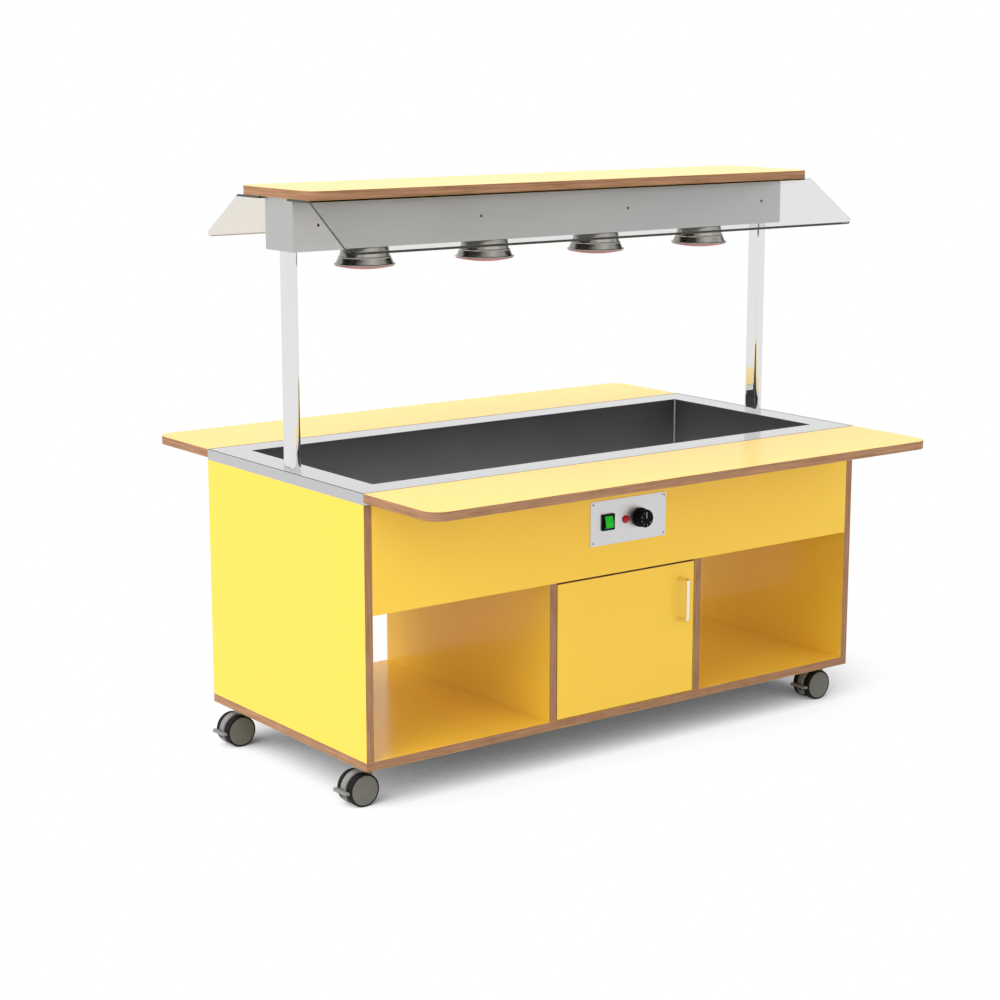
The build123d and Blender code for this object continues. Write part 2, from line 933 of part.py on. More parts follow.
def canopy_hood():
    """A folded sheet hood, closed at its ends and open below."""
    hood = block(-hood_length / 2, hood_length / 2, -hood_half, hood_half, hood_bottom_height, canopy_under)
    hood = fillet(hood.edges().filter_by(Axis.Z), sheet_bend)
    hood -= block(
        -hood_length / 2 + sheet,
        hood_length / 2 - sheet,
        -hood_half + sheet,
        hood_half - sheet,
        hood_bottom_height,
        hood_top_under,
    )
    for side in (-1, 1):
        for y in (-top_bolt_spread / 2, top_bolt_spread / 2):
            hood -= upright(top_bolt_radius + hole_gap, top_bolt_x(side), y, hood_top_under, canopy_under)
        for x in hood_screw_xs:
            inner_face = side * (hood_half - sheet)
            hood -= across(screw_shank_radius + hole_gap, x, hood_screw_height, inner_face, side * hood_half)
    return hood


def canopy_shelf():
    shelf = block(
        -canopy_length / 2,
        canopy_length / 2,
        -canopy_width / 2,
        canopy_width / 2,
        canopy_under,
        canopy_height,
    )
    shelf = fillet(shelf.edges().filter_by(Axis.Z), canopy_corner)
    shelf = chamfer(shelf.faces().filter_by(Axis.Z).edges(), board_arris)
    for side in (-1, 1):
        for y in (-top_bolt_spread / 2, top_bolt_spread / 2):
            hole = top_bolt_radius + hole_gap
            shelf -= upright(hole, top_bolt_x(side), y, canopy_under, canopy_under + board / 2)
        for x in guard_screw_xs:
            hole = guard_screw_radius + hole_gap
            hole_top = canopy_under + guard_screw_into_board
            shelf -= upright(hole, x, side * guard_screw_y, canopy_under, hole_top)
    return shelf


def sneeze_guard(side):
    """A clear sheet bent along one line: a flange under the shelf and a sloping pane."""
    start_y = hood_half + guard_inner_gap
    middle = canopy_under - guard_thickness / 2
    points = [
        (0, side * start_y, middle),
        (0, side * guard_bend_y, middle),
        (0, side * guard_lower_y, guard_lower_height),
    ]
    bend_line = FilletPolyline(*points, radius=guard_bend_radius)
    first = Plane(origin=points[0], z_dir=(0, side, 0))
    strip = first * Rectangle(guard_length, guard_thickness)
    if abs(first.x_dir.X) < 0.5:
        strip = first * Rectangle(guard_thickness, guard_length)
    guard = sweep(strip, path=bend_line)
    low_face = guard.faces().sort_by(Axis.Z)[0]
    end_edges = low_face.edges().filter_by(lambda edge: edge.length < 2 * guard_thickness)
    guard = fillet(end_edges, guard_corner)
    for x in guard_screw_xs:
        guard -= upright(
            guard_screw_radius + hole_gap,
            x,
            side * guard_screw_y,
            canopy_under - guard_thickness,
            canopy_under,
        )
    return guard


def guard_screws():
    """Low-head screws through each guard's flange into the canopy shelf."""
    pieces = []
    flange_under = canopy_under - guard_thickness
    head_under = flange_under - guard_screw_head_height
    for side in (-1, 1):
        for x in guard_screw_xs:
            y = side * guard_screw_y
            shank = upright(guard_screw_radius, x, y, flange_under, canopy_under + guard_screw_into_board)
            head = upright(guard_screw_head_radius, x, y, head_under, flange_under)
            pieces.append(shank + head)
    return group(pieces)


# Heat lamps
def lamp_shade(x):
    """A spun, stepped shade: rolled rim, flare, ridge, waist and neck, with a thin wall."""
    outer = [
        (lamp_rim_radius, 0),
        (lamp_rim_radius, 2 * lamp_wall),
        (lamp_rim_radius - 3 * lamp_wall, 3 * lamp_wall),
        (lamp_ridge_radius + lamp_wall, lamp_ridge_rise - lamp_wall),
        (lamp_ridge_radius + lamp_wall, lamp_ridge_rise + lamp_wall),
        (lamp_ridge_radius - lamp_wall, lamp_ridge_rise + 2 * lamp_wall),
        (lamp_waist_radius, lamp_waist_rise),
        (lamp_shoulder_radius, lamp_shoulder_rise),
        (lamp_neck_radius, lamp_neck_rise - 2 * lamp_wall),
        (lamp_neck_radius, lamp_neck_rise),
    ]
    inner = [(r - 1.5 * lamp_wall, h) for r, h in outer[::-1]]
    inner[-1] = (lamp_rim_radius - 1.5 * lamp_wall, 0)
    return turned(outer + inner, x, 0, lamp_rim_height)


def bulb_profile():
    """Half of a pressed-glass reflector bulb: convex face, parabolic back, neck and cap."""
    rim = lamp_rim_radius - 1.5 * lamp_wall - bulb_gap
    dome = bulb_face_drop - bulb_rim_drop
    face_radius = (rim**2 + dome**2) / (2 * dome)
    mid_r = rim / 2
    mid_h = -bulb_face_drop + face_radius - sqrt(face_radius**2 - mid_r**2)
    face = ThreePointArc((0, -bulb_face_drop), (mid_r, mid_h), (rim, -bulb_rim_drop))
    shell = rim - bulb_lip
    half_way = (sqrt((shell**2 + bulb_neck_radius**2) / 2), bulb_reflector_rise / 2)
    back = ThreePointArc((shell, 2 * lamp_wall), half_way, (bulb_neck_radius, bulb_reflector_rise))
    edge = Polyline((rim, -bulb_rim_drop), (rim, 0), (shell, 2 * lamp_wall))
    cap = Polyline(
        (bulb_neck_radius, bulb_reflector_rise),
        (bulb_cap_radius, bulb_reflector_rise + bulb_neck_radius),
        (bulb_cap_radius, bulb_cap_rise),
        (0, bulb_cap_rise),
        (0, -bulb_face_drop),
    )
    return make_face(face + edge + back + cap)


def lamp_bulb(x):
    bulb = Rot(90, 0, 0) * revolve(bulb_profile(), Axis.Y)
    return Pos(x, 0, lamp_rim_height) * bulb


def lamp_holder(x):
    """The ceramic holder that hangs the bulb and the shade from the hood's top."""
    cap_top = lamp_rim_height + bulb_cap_rise
    skirt_bottom = lamp_rim_height + lamp_neck_rise
    body = upright(holder_radius, x, 0, skirt_bottom, hood_top_under)
    body += upright(lamp_neck_radius, x, 0, skirt_bottom, skirt_bottom + 3 * lamp_wall)
    return body - upright(bulb_cap_radius + seat_gap, x, 0, skirt_bottom, cap_top)


# Casters: every caster is built round its swivel axis and trails towards -X
axle_drop = wheel_radius
plate_under = underside_height - caster_plate_thickness
head_top = plate_under - moving_gap
head_bottom = 2 * wheel_radius + 2 * moving_gap
block_half = hood_block_width / 2
pin_bottom = head_top - swivel_pin_length
pedal_pivot_x = -caster_trail - pedal_pivot_in
pedal_pivot_z = pedal_height - pedal_thickness / 2


def caster_plate(spot):
    x, y = spot
    plate = block(
        x - caster_plate_size / 2,
        x + caster_plate_size / 2,
        y - caster_plate_size / 2,
        y + caster_plate_size / 2,
        plate_under,
        underside_height,
    )
    plate = fillet(plate.edges().filter_by(Axis.Z), caster_plate_size / 8)
    return plate + upright(swivel_pin_radius, x, y, pin_bottom, plate_under)


def fender_sector(radius):
    """A pie slice round the axle, from above the wheels to just clear of the floor."""
    start = (
        -caster_trail + radius * cos(radians(fender_start)),
        axle_drop + radius * sin(radians(fender_start)),
    )
    middle = radians((fender_start + fender_end) / 2)
    half_way = (-caster_trail + radius * cos(middle), axle_drop + radius * sin(middle))
    finish = (
        -caster_trail + radius * cos(radians(fender_end)),
        axle_drop + radius * sin(radians(fender_end)),
    )
    centre = (-caster_trail, axle_drop)
    slice_line = ThreePointArc(start, half_way, finish) + Polyline(finish, centre, start)
    return make_face(slice_line)


def caster_yoke(spot):
    """The moulded block between the wheels: fender, axle boss, axle and swivel head."""
    fender = Plane.XZ * fender_sector(fender_radius)
    fender = extrude(fender, block_half, both=True)
    rims = fender.edges().filter_by(lambda edge: edge.geom_type == GeomType.CIRCLE)
    yoke = fillet(rims, fender_round)
    yoke += across(axle_boss_radius, -caster_trail, axle_drop, -block_half, block_half)
    yoke += block(
        -caster_trail,
        caster_neck_reach,
        -block_half,
        block_half,
        axle_drop + axle_boss_radius / 2,
        head_bottom,
    )
    yoke += upright(caster_head_radius, 0, 0, head_bottom, head_top)
    yoke -= upright(swivel_pin_radius + running_gap, 0, 0, pin_bottom - moving_gap, head_top)
    slot_half = pedal_tongue_width / 2 + moving_gap
    slot_low = pedal_pivot_z - pedal_eye_radius - moving_gap
    swing = (fender_radius - pedal_pivot_in) * sin(radians(2 * pedal_travel))
    lowest = pedal_pivot_z - pedal_thickness - swing
    slot_top = pedal_pivot_z + pedal_eye_radius + moving_gap
    outside = -caster_trail - fender_radius - 1
    yoke -= block(
        outside,
        pedal_pivot_x + pedal_eye_radius + moving_gap,
        -slot_half,
        slot_half,
        min(slot_low, lowest),
        slot_top,
    )
    yoke += across(pedal_pin_radius, pedal_pivot_x, pedal_pivot_z, -block_half, block_half)
    half_axle = caster_width / 2 - tyre_round
    yoke += across(axle_radius, -caster_trail, axle_drop, -half_axle, half_axle)
    return Pos(spot[0], spot[1], 0) * yoke


def caster_brake(spot):
    """The brake pedal: a wide rounded toe plate on a tongue with an eye for its pin."""
    toe_back = -caster_trail - wheel_radius - 3 * moving_gap
    toe_front = -caster_trail - pedal_reach
    low = pedal_pivot_z - pedal_thickness / 2
    high = pedal_pivot_z + pedal_thickness / 2
    toe = block(toe_front, toe_back, -pedal_width / 2, pedal_width / 2, low, high)
    toe = fillet(toe.edges().filter_by(Axis.Z).sort_by(Axis.X)[:2], pedal_corner)
    toe = fillet(toe.faces().filter_by(Axis.Z).sort_by(Axis.Z)[-1].edges(), pedal_thickness / 4)
    fender_clear = fender_radius + moving_gap
    cut_half = block_half + moving_gap
    toe -= across(fender_clear, -caster_trail, axle_drop, -cut_half, cut_half)
    pressed = radians(pedal_travel)
    rise = axle_drop - pedal_pivot_z
    pressed_x = pedal_pivot_x + pedal_pivot_in * cos(pressed) + rise * sin(pressed)
    pressed_z = pedal_pivot_z - pedal_pivot_in * sin(pressed) + rise * cos(pressed)
    toe -= across(fender_clear, pressed_x, pressed_z, -cut_half, cut_half)
    tongue_half = pedal_tongue_width / 2
    tongue = block(pedal_pivot_x, -caster_trail - fender_clear - pedal_thickness / 3, -tongue_half, tongue_half, low, high)
    eye = across(pedal_eye_radius, pedal_pivot_x, pedal_pivot_z, -tongue_half, tongue_half)
    bore = across(pedal_pin_radius + running_gap, pedal_pivot_x, pedal_pivot_z, -tongue_half, tongue_half)
    return Pos(spot[0], spot[1], 0) * (toe + tongue + eye - bore)


def caster_wheel(spot, side):
    """One wheel: a tyre with rounded shoulders on a hub with a domed, closed outer face."""
    near = block_half + wheel_side_gap
    far = caster_width / 2 - cover_dome
    hub_radius = wheel_radius - tread_width
    tyre = Pos(0, (near + far) / 2, 0) * Rot(90, 0, 0) * Cylinder(wheel_radius, far - near)
    tyre = fillet(tyre.edges().filter_by(GeomType.CIRCLE), tyre_round)
    tyre -= Pos(0, (near + far) / 2, 0) * Rot(90, 0, 0) * Cylinder(hub_radius, far - near)
    dome_radius = (hub_radius**2 + cover_dome**2) / (2 * cover_dome)
    half = hub_radius / 2
    crown = far + cover_dome - dome_radius + sqrt(dome_radius**2 - half**2)
    half_axle = caster_width / 2 - tyre_round
    outline = Polyline(
        (0, far + cover_dome),
        (0, half_axle + moving_gap),
        (axle_radius + running_gap, half_axle + moving_gap),
        (axle_radius + running_gap, near),
        (hub_radius, near),
        (hub_radius, far),
    )
    cover = ThreePointArc((hub_radius, far), (half, crown), (0, far + cover_dome))
    hub = revolve(make_face(outline + cover), Axis.Y)
    pair = [tyre, hub]
    if side < 0:
        pair = [mirror(piece, Plane.XZ) for piece in pair]
    place = Pos(spot[0] - caster_trail, spot[1], axle_drop)
    return group(place * piece for piece in pair)


def build():
    nodes["bottom_panel"] = bottom_panel()
    nodes["side_panel_left"] = side_panel(-1)
    nodes["side_panel_right"] = side_panel(1)
    nodes["divider_left"] = divider(-1)
    nodes["divider_right"] = divider(1)
    nodes["fascia_front"] = fascia_front()
    nodes["fascia_rear"] = fascia_rear()
    nodes["deck_panel"] = deck_panel()
    nodes["cupboard_back"] = cupboard_back()
    nodes["tray_shelf_front"] = tray_shelf(-1)
    nodes["tray_shelf_rear"] = tray_shelf(1)
    nodes["shelf_brackets"] = shelf_brackets()
    nodes["worktop"] = worktop()
    nodes["worktop_frame"] = worktop_frame()
    nodes["well_tank"] = well_tank()
    nodes["well_heaters"] = well_heaters()
    nodes["drain_fitting"] = drain_fitting()
    nodes["drain_valve"] = drain_valve()
    nodes["drain_lever"] = drain_lever()
    nodes["door_panel"] = door_panel()
    nodes["door_handle"] = door_handle()
    nodes["hinge_cups"] = group([hinge_cup(z) for z in hinge_zs] + [door_strike()])
    nodes["hinge_arms"] = group(hinge_arm(z) for z in hinge_zs)
    nodes["door_catch"] = door_catch()
    nodes["control_plate"] = control_plate()
    nodes["cover_screws"] = cover_screws()
    nodes["switch_housing"] = switch_housing()
    nodes["switch_rocker"] = switch_rocker()
    nodes["pilot_lamp"] = pilot_lamp()
    nodes["thermostat_body"] = thermostat_body()
    nodes["thermostat_knob"] = thermostat_knob()
    nodes["cable_gland"] = cable_gland()
    nodes["post_left"] = post(-1)
    nodes["post_right"] = post(1)
    nodes["post_fixings"] = post_fixings()
    nodes["canopy_hood"] = canopy_hood()
    nodes["canopy_shelf"] = canopy_shelf()
    nodes["sneeze_guard_front"] = sneeze_guard(-1)
    nodes["sneeze_guard_rear"] = sneeze_guard(1)
    nodes["guard_screws"] = guard_screws()
    nodes["lamp_shades"] = group(lamp_shade(x) for x in lamp_xs)
    nodes["lamp_bulbs"] = group(lamp_bulb(x) for x in lamp_xs)
    nodes["lamp_holders"] = group(lamp_holder(x) for x in lamp_xs)
    nodes["caster_plates"] = group(caster_plate(spot) for spot in caster_spots.values())
    for place, spot in caster_spots.items():
        nodes["caster_yoke_" + place] = caster_yoke(spot)
        nodes["caster_brake_" + place] = caster_brake(spot)
        nodes["wheel_a_" + place] = caster_wheel(spot, -1)
        nodes["wheel_b_" + place] = caster_wheel(spot, 1)


build()
os.makedirs("parts", exist_ok=True)
for name, shape in nodes.items():
    export_step(shape, "parts/" + name + ".step")
print(len(nodes), "nodes written")
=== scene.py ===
from math import atan2, cos, pi, radians, sin

import bmesh
import bpy
from mathutils import Matrix, Vector
from mathutils.bvhtree import BVHTree


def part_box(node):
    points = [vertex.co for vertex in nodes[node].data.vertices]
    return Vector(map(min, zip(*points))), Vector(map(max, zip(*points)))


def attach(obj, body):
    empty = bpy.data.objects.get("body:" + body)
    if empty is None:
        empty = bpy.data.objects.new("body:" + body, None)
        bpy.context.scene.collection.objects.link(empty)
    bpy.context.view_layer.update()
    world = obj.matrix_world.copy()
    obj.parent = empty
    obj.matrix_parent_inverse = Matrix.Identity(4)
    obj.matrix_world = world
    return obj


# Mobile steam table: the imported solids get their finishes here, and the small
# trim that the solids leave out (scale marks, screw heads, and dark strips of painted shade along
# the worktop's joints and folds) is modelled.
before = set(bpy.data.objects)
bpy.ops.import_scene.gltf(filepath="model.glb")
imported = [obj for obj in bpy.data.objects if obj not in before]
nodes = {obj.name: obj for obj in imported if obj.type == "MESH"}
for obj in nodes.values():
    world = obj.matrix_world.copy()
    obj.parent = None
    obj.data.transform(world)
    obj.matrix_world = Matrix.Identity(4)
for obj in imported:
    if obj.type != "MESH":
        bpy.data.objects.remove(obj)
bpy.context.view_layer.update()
print("frame loaded:", len(nodes), "nodes")

xAxis, yAxis, zAxis = range(3)
mixSockets = {"factor": 0, "first": 6, "second": 7, "result": 2}  # of a Mix node for colours


# helpers that build material nodes
def newMaterial(name, colour, roughness, metallic=0.0, **sockets):
    material = bpy.data.materials.new(name)
    material.use_nodes = True
    material.diffuse_color = (*colour, 1)
    shader = material.node_tree.nodes["Principled BSDF"]
    shader.inputs["Base Color"].default_value = (*colour, 1)
    shader.inputs["Roughness"].default_value = roughness
    shader.inputs["Metallic"].default_value = metallic
    for socket, value in sockets.items():
        shader.inputs[socket.replace("_", " ")].default_value = value
    return material, material.node_tree, shader


def feed(tree, value, socket):
    # a socket takes a link or a constant
    if isinstance(value, bpy.types.NodeSocket):
        tree.links.new(value, socket)
    elif isinstance(value, tuple):
        socket.default_value = (*value, 1)[:4]
    else:
        socket.default_value = value


def mathNode(tree, operation, first, second=0.0):
    node = tree.nodes.new("ShaderNodeMath")
    node.operation = operation
    feed(tree, first, node.inputs[0])
    feed(tree, second, node.inputs[1])
    return node.outputs[0]


def mixColour(tree, factor, first, second):
    node = tree.nodes.new("ShaderNodeMix")
    node.data_type = "RGBA"
    feed(tree, factor, node.inputs[mixSockets["factor"]])
    feed(tree, first, node.inputs[mixSockets["first"]])
    feed(tree, second, node.inputs[mixSockets["second"]])
    return node.outputs[mixSockets["result"]]


def mapRange(tree, value, span, target):
    # a value that runs over the span comes out running over the target
    node = tree.nodes.new("ShaderNodeMapRange")
    feed(tree, value, node.inputs["Value"])
    node.inputs["From Min"].default_value, node.inputs["From Max"].default_value = span
    node.inputs["To Min"].default_value, node.inputs["To Max"].default_value = target
    return node.outputs["Result"]


def either(tree, flag, plain, flagged):
    # one value where the flag is 0, the other where it is 1
    return mapRange(tree, flag, (0, 1), (plain, flagged))


def objectPlace(tree, centre=(0, 0, 0), stretch=(1, 1, 1)):
    # object coordinates, moved to a centre and then stretched
    coordinates = tree.nodes.new("ShaderNodeTexCoord")
    place = tree.nodes.new("ShaderNodeVectorMath")
    place.operation = "SUBTRACT"
    tree.links.new(coordinates.outputs["Object"], place.inputs[0])
    place.inputs[1].default_value = centre
    mapping = tree.nodes.new("ShaderNodeMapping")
    mapping.inputs["Scale"].default_value = stretch
    tree.links.new(place.outputs[0], mapping.inputs["Vector"])
    return mapping.outputs["Vector"]


def noiseAt(tree, vector, scale=1.0, detail=3.0, roughness=0.5):
    node = tree.nodes.new("ShaderNodeTexNoise")
    node.inputs["Scale"].default_value = scale
    node.inputs["Detail"].default_value = detail
    node.inputs["Roughness"].default_value = roughness
    tree.links.new(vector, node.inputs["Vector"])
    return node.outputs["Fac"]


def mottle(tree, noise, span, amount, colour, other):
    # a colour that wanders towards another one, as far as the amount
    return mixColour(tree, mapRange(tree, noise, span, (0, amount)), colour, other)


def darker(colour, share):
    return tuple(share * channel for channel in colour)


def bumpInto(tree, shader, height, strength, distance):
    node = tree.nodes.new("ShaderNodeBump")
    node.inputs["Strength"].default_value = strength
    node.inputs["Distance"].default_value = distance
    tree.links.new(height, node.inputs["Height"])
    tree.links.new(node.outputs["Normal"], shader.inputs["Normal"])


def axisOf(tree, vector, axis):
    split = tree.nodes.new("ShaderNodeSeparateXYZ")
    tree.links.new(vector, split.inputs[0])
    return split.outputs[axis]


def isBeyond(tree, place, axis, distance):
    # 1 further from the centre than the distance, measured along one axis
    offset = mathNode(tree, "ABSOLUTE", axisOf(tree, place, axis))
    return mathNode(tree, "GREATER_THAN", offset, distance)


def dress(nodeName, material):
    slots = nodes[nodeName].data.materials
    slots.clear()
    slots.append(material)


# laminated boards
boardLook = {
    "laminate": (0.90, 0.585, 0.060),
    "laminateWarm": (1, 0.7, 0.12),
    "laminateRoughness": 0.20,
    "laminateThickness": 0.0002,
    "shine": 0.34,
    "canopyShine": 0.22,  # the canopy is seen almost edge on
    "veneerThickness": 0.0014,
    "veneerDark": (0.20, 0.094, 0.046),
    "veneerLight": (0.44, 0.235, 0.125),
    "plyContrast": 0.16,
    "edgeRoughness": 0.62,
    "streakAcross": 420,
    "streakAlong": 9,
    "streak": {"detail": 5.0, "roughness": 0.62},
    "streakSpan": (0.34, 0.66),
    "blotch": {"scale": 22.0, "detail": 2.0},
    "blotchSpan": (0.3, 0.7),
    "blotchOnWood": 0.35,
    "blotchOnLaminate": 0.05,
    "peel": {"scale": 900.0, "detail": 1.0},  # the faint orange peel of the laminate
    "peelDepth": 0.02,
    "bump": {"strength": 0.25, "distance": 0.0004},
}


def boardMaterial(nodeName, look=boardLook):
    # laminate on the two broad faces, plies on everything cut through the board
    low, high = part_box(nodeName)
    sizes = high - low
    thin = min(range(3), key=lambda axis: sizes[axis])
    shine = look["canopyShine"] if nodeName == "canopy_shelf" else look["shine"]
    material, tree, shader = newMaterial(
        "board_" + nodeName, look["laminate"], look["laminateRoughness"],
        Specular_IOR_Level=shine)
    along = axisOf(tree, objectPlace(tree), thin)
    fromLow = mathNode(tree, "SUBTRACT", along, low[thin])
    fromHigh = mathNode(tree, "SUBTRACT", high[thin], along)
    depth = mathNode(tree, "MINIMUM", fromLow, fromHigh)
    isEdge = mathNode(tree, "GREATER_THAN", depth, look["laminateThickness"])
    stretch = [look["streakAlong"]] * 3
    stretch[thin] = look["streakAcross"]
    streak = noiseAt(tree, objectPlace(tree, stretch=stretch), **look["streak"])
    blotch = noiseAt(tree, objectPlace(tree), **look["blotch"])
    # every second veneer is a little darker
    ply = mathNode(tree, "MULTIPLY", fromLow, 1 / look["veneerThickness"])
    ply = mathNode(tree, "PINGPONG", ply, 1.0)
    ply = mathNode(tree, "GREATER_THAN", ply, 0.5)
    wood = mottle(tree, streak, look["streakSpan"], 1.0, look["veneerDark"], look["veneerLight"])
    layered = mathNode(tree, "MULTIPLY", ply, look["plyContrast"])
    wood = mixColour(tree, layered, wood, look["veneerDark"])
    wood = mottle(tree, blotch, look["blotchSpan"], look["blotchOnWood"],
                  wood, look["veneerLight"])
    face = mottle(tree, blotch, look["blotchSpan"], look["blotchOnLaminate"],
                  look["laminate"], look["laminateWarm"])
    tree.links.new(mixColour(tree, isEdge, face, wood), shader.inputs["Base Color"])
    rough = either(tree, isEdge, look["laminateRoughness"], look["edgeRoughness"])
    tree.links.new(rough, shader.inputs["Roughness"])
    peel = noiseAt(tree, objectPlace(tree), **look["peel"])
    height = mathNode(tree, "MULTIPLY", streak, isEdge)
    height = mathNode(tree, "ADD", height, mathNode(tree, "MULTIPLY", peel, look["peelDepth"]))
    bumpInto(tree, shader, height, **look["bump"])
    return material


boardNodes = [
    "bottom_panel", "side_panel_left", "side_panel_right", "divider_left", "divider_right",
    "fascia_front", "fascia_rear", "deck_panel", "cupboard_back", "tray_shelf_front",
    "tray_shelf_rear", "canopy_shelf", "door_panel",
]
for boardNode in boardNodes:
    dress(boardNode, boardMaterial(boardNode))


bareWoodLook = {
    "base": (0.42, 0.26, 0.15),
    "light": (0.55, 0.37, 0.22),
    "roughness": 0.7,
    "stretch": (6, 90, 420),
    "streak": {"detail": 5.0, "roughness": 0.6},
    "bump": {"strength": 0.3, "distance": 0.0004},
}


def bareWood(look=bareWoodLook):
    material, tree, shader = newMaterial("bare_wood", look["base"], look["roughness"])
    streak = noiseAt(tree, objectPlace(tree, stretch=look["stretch"]), **look["streak"])
    wood = mixColour(tree, streak, boardLook["veneerDark"], look["light"])
    tree.links.new(wood, shader.inputs["Base Color"])
    bumpInto(tree, shader, streak, **look["bump"])
    return material


dress("worktop_frame", bareWood())
print("boards dressed")


# metals
brushLook = {
    "stretch": (6, 900, 900),  # the scratches run along X
    "lines": {"roughness": 0.6},
    "linesSpan": (0.25, 0.75),
    "cloud": {"scale": 5.0},
    "cloudSpan": (0.3, 0.7),
    "cloudRoughness": (-0.03, 0.03),
    "shadeSpan": (0.3, 0.7),
    "shade": 0.14,
    "darker": 0.8,
    "bumpDistance": 0.0002,
}


def brushedMetal(name, colour, roughness, depth=0.12, spread=0.08, metallic=1.0, look=brushLook):
    # fine scratches that run along one axis
    material, tree, shader = newMaterial(name, colour, roughness, metallic)
    lines = noiseAt(tree, objectPlace(tree, stretch=look["stretch"]), **look["lines"])
    cloud = noiseAt(tree, objectPlace(tree), **look["cloud"])
    rough = mapRange(tree, lines, look["linesSpan"], (roughness - spread, roughness + spread))
    uneven = mapRange(tree, cloud, look["cloudSpan"], look["cloudRoughness"])
    tree.links.new(mathNode(tree, "ADD", rough, uneven), shader.inputs["Roughness"])
    shade = mottle(tree, lines, look["shadeSpan"], look["shade"],
                   colour, darker(colour, look["darker"]))
    tree.links.new(shade, shader.inputs["Base Color"])
    bumpInto(tree, shader, lines, depth, look["bumpDistance"])
    return material


smoothLook = {
    "stretch": (1, 1, 0.4),
    "smear": {"scale": 14.0, "detail": 4.0, "roughness": 0.6},
    "roughSpan": (0.35, 0.75),
    "rougher": (1.5, 0.01),  # times the roughness, and then added to it
    "shadeSpan": (0.4, 0.8),
    "shade": 0.08,
    "darker": 0.85,
}


def smoothMetal(name, colour, roughness, look=smoothLook):
    # polished metal with faint handling marks
    material, tree, shader = newMaterial(name, colour, roughness, metallic=1.0)
    smear = noiseAt(tree, objectPlace(tree, stretch=look["stretch"]), **look["smear"])
    times, added = look["rougher"]
    rough = mapRange(tree, smear, look["roughSpan"], (roughness, roughness * times + added))
    tree.links.new(rough, shader.inputs["Roughness"])
    shade = mottle(tree, smear, look["shadeSpan"], look["shade"],
                   colour, darker(colour, look["darker"]))
    tree.links.new(shade, shader.inputs["Base Color"])
    return material


castLook = {
    "speck": {"detail": 4.0, "roughness": 0.6},
    "shadeSpan": (0.35, 0.65),
    "shade": 0.25,
    "darker": 0.7,
    "roughSpan": (0.3, 0.7),
    "smoother": 0.06,
    "rougher": 0.08,
    "bump": {"strength": 0.1, "distance": 0.0002},
}


def castMetal(name, colour, roughness, metallic=1.0, grain=160.0, look=castLook):
    # speckled, as cast, coated or zinc-plated parts are
    material, tree, shader = newMaterial(name, colour, roughness, metallic)
    speck = noiseAt(tree, objectPlace(tree), scale=grain, **look["speck"])
    shade = mottle(tree, speck, look["shadeSpan"], look["shade"],
                   colour, darker(colour, look["darker"]))
    tree.links.new(shade, shader.inputs["Base Color"])
    rough = mapRange(tree, speck, look["roughSpan"],
                     (roughness - look["smoother"], roughness + look["rougher"]))
    tree.links.new(rough, shader.inputs["Roughness"])
    bumpInto(tree, shader, speck, **look["bump"])
    return material


worktopSteel = brushedMetal(
    "worktop_steel", (0.58, 0.58, 0.58), roughness=0.12, depth=0.02, spread=0.03)
hoodSteel = brushedMetal("hood_steel", (0.585, 0.585, 0.585), roughness=0.46)
wellSteel = brushedMetal(
    "well_steel", (0.225, 0.225, 0.23), roughness=0.40, depth=0.08, metallic=0.85)
plateSteel = brushedMetal("plate_steel", (0.69, 0.69, 0.70), roughness=0.40, depth=0.06)
mirrorSteel = smoothMetal("mirror_steel", (0.77, 0.77, 0.77), roughness=0.015)
handleSteel = smoothMetal("handle_steel", (0.88, 0.81, 0.66), roughness=0.12)
smokedChrome = smoothMetal("smoked_chrome", (0.36, 0.35, 0.32), roughness=0.20)
zincSteel = castMetal("zinc_steel", (0.62, 0.63, 0.65), roughness=0.36)
heaterMetal = castMetal("heater_metal", (0.48, 0.48, 0.49), roughness=0.5)
valveBrass = castMetal("valve_brass", (0.66, 0.47, 0.18), roughness=0.36)
leverCoat = castMetal(
    "lever_coat", (0.45, 0.02, 0.015), roughness=0.38, metallic=0.0, grain=300.0)

metalOf = {
    "worktop": worktopSteel,
    "canopy_hood": hoodSteel,
    "well_tank": wellSteel,
    "control_plate": plateSteel,
    "post_left": mirrorSteel,
    "post_right": mirrorSteel,
    "door_handle": handleSteel,
    "lamp_shades": smokedChrome,
    "drain_fitting": handleSteel,
    "drain_valve": valveBrass,
    "drain_lever": leverCoat,
    "well_heaters": heaterMetal,
    "guard_screws": zincSteel,
    "post_fixings": zincSteel,
    "shelf_brackets": zincSteel,
    "hinge_cups": zincSteel,
    "hinge_arms": zincSteel,
    "caster_plates": zincSteel,
}
for metalNode, metal in metalOf.items():
    dress(metalNode, metal)


# the tank's walls get painted shade at the rim that turns into a painted reflection lower down,
# and a painted highlight on their rounded corners
tankLook = {
    # painted shade at the rim, and the paler colour of the painted reflection further down
    "rim": (0.113, 0.113, 0.114),
    "deep": (0.378, 0.378, 0.380),
    "depth": 0.125,
    "flange": 0.0135,  # from the tank's outer edge to its wall, inside
    "cornerHighlightWidth": 0.003,
    "cornerHighlight": (0.66, 0.66, 0.665),
}


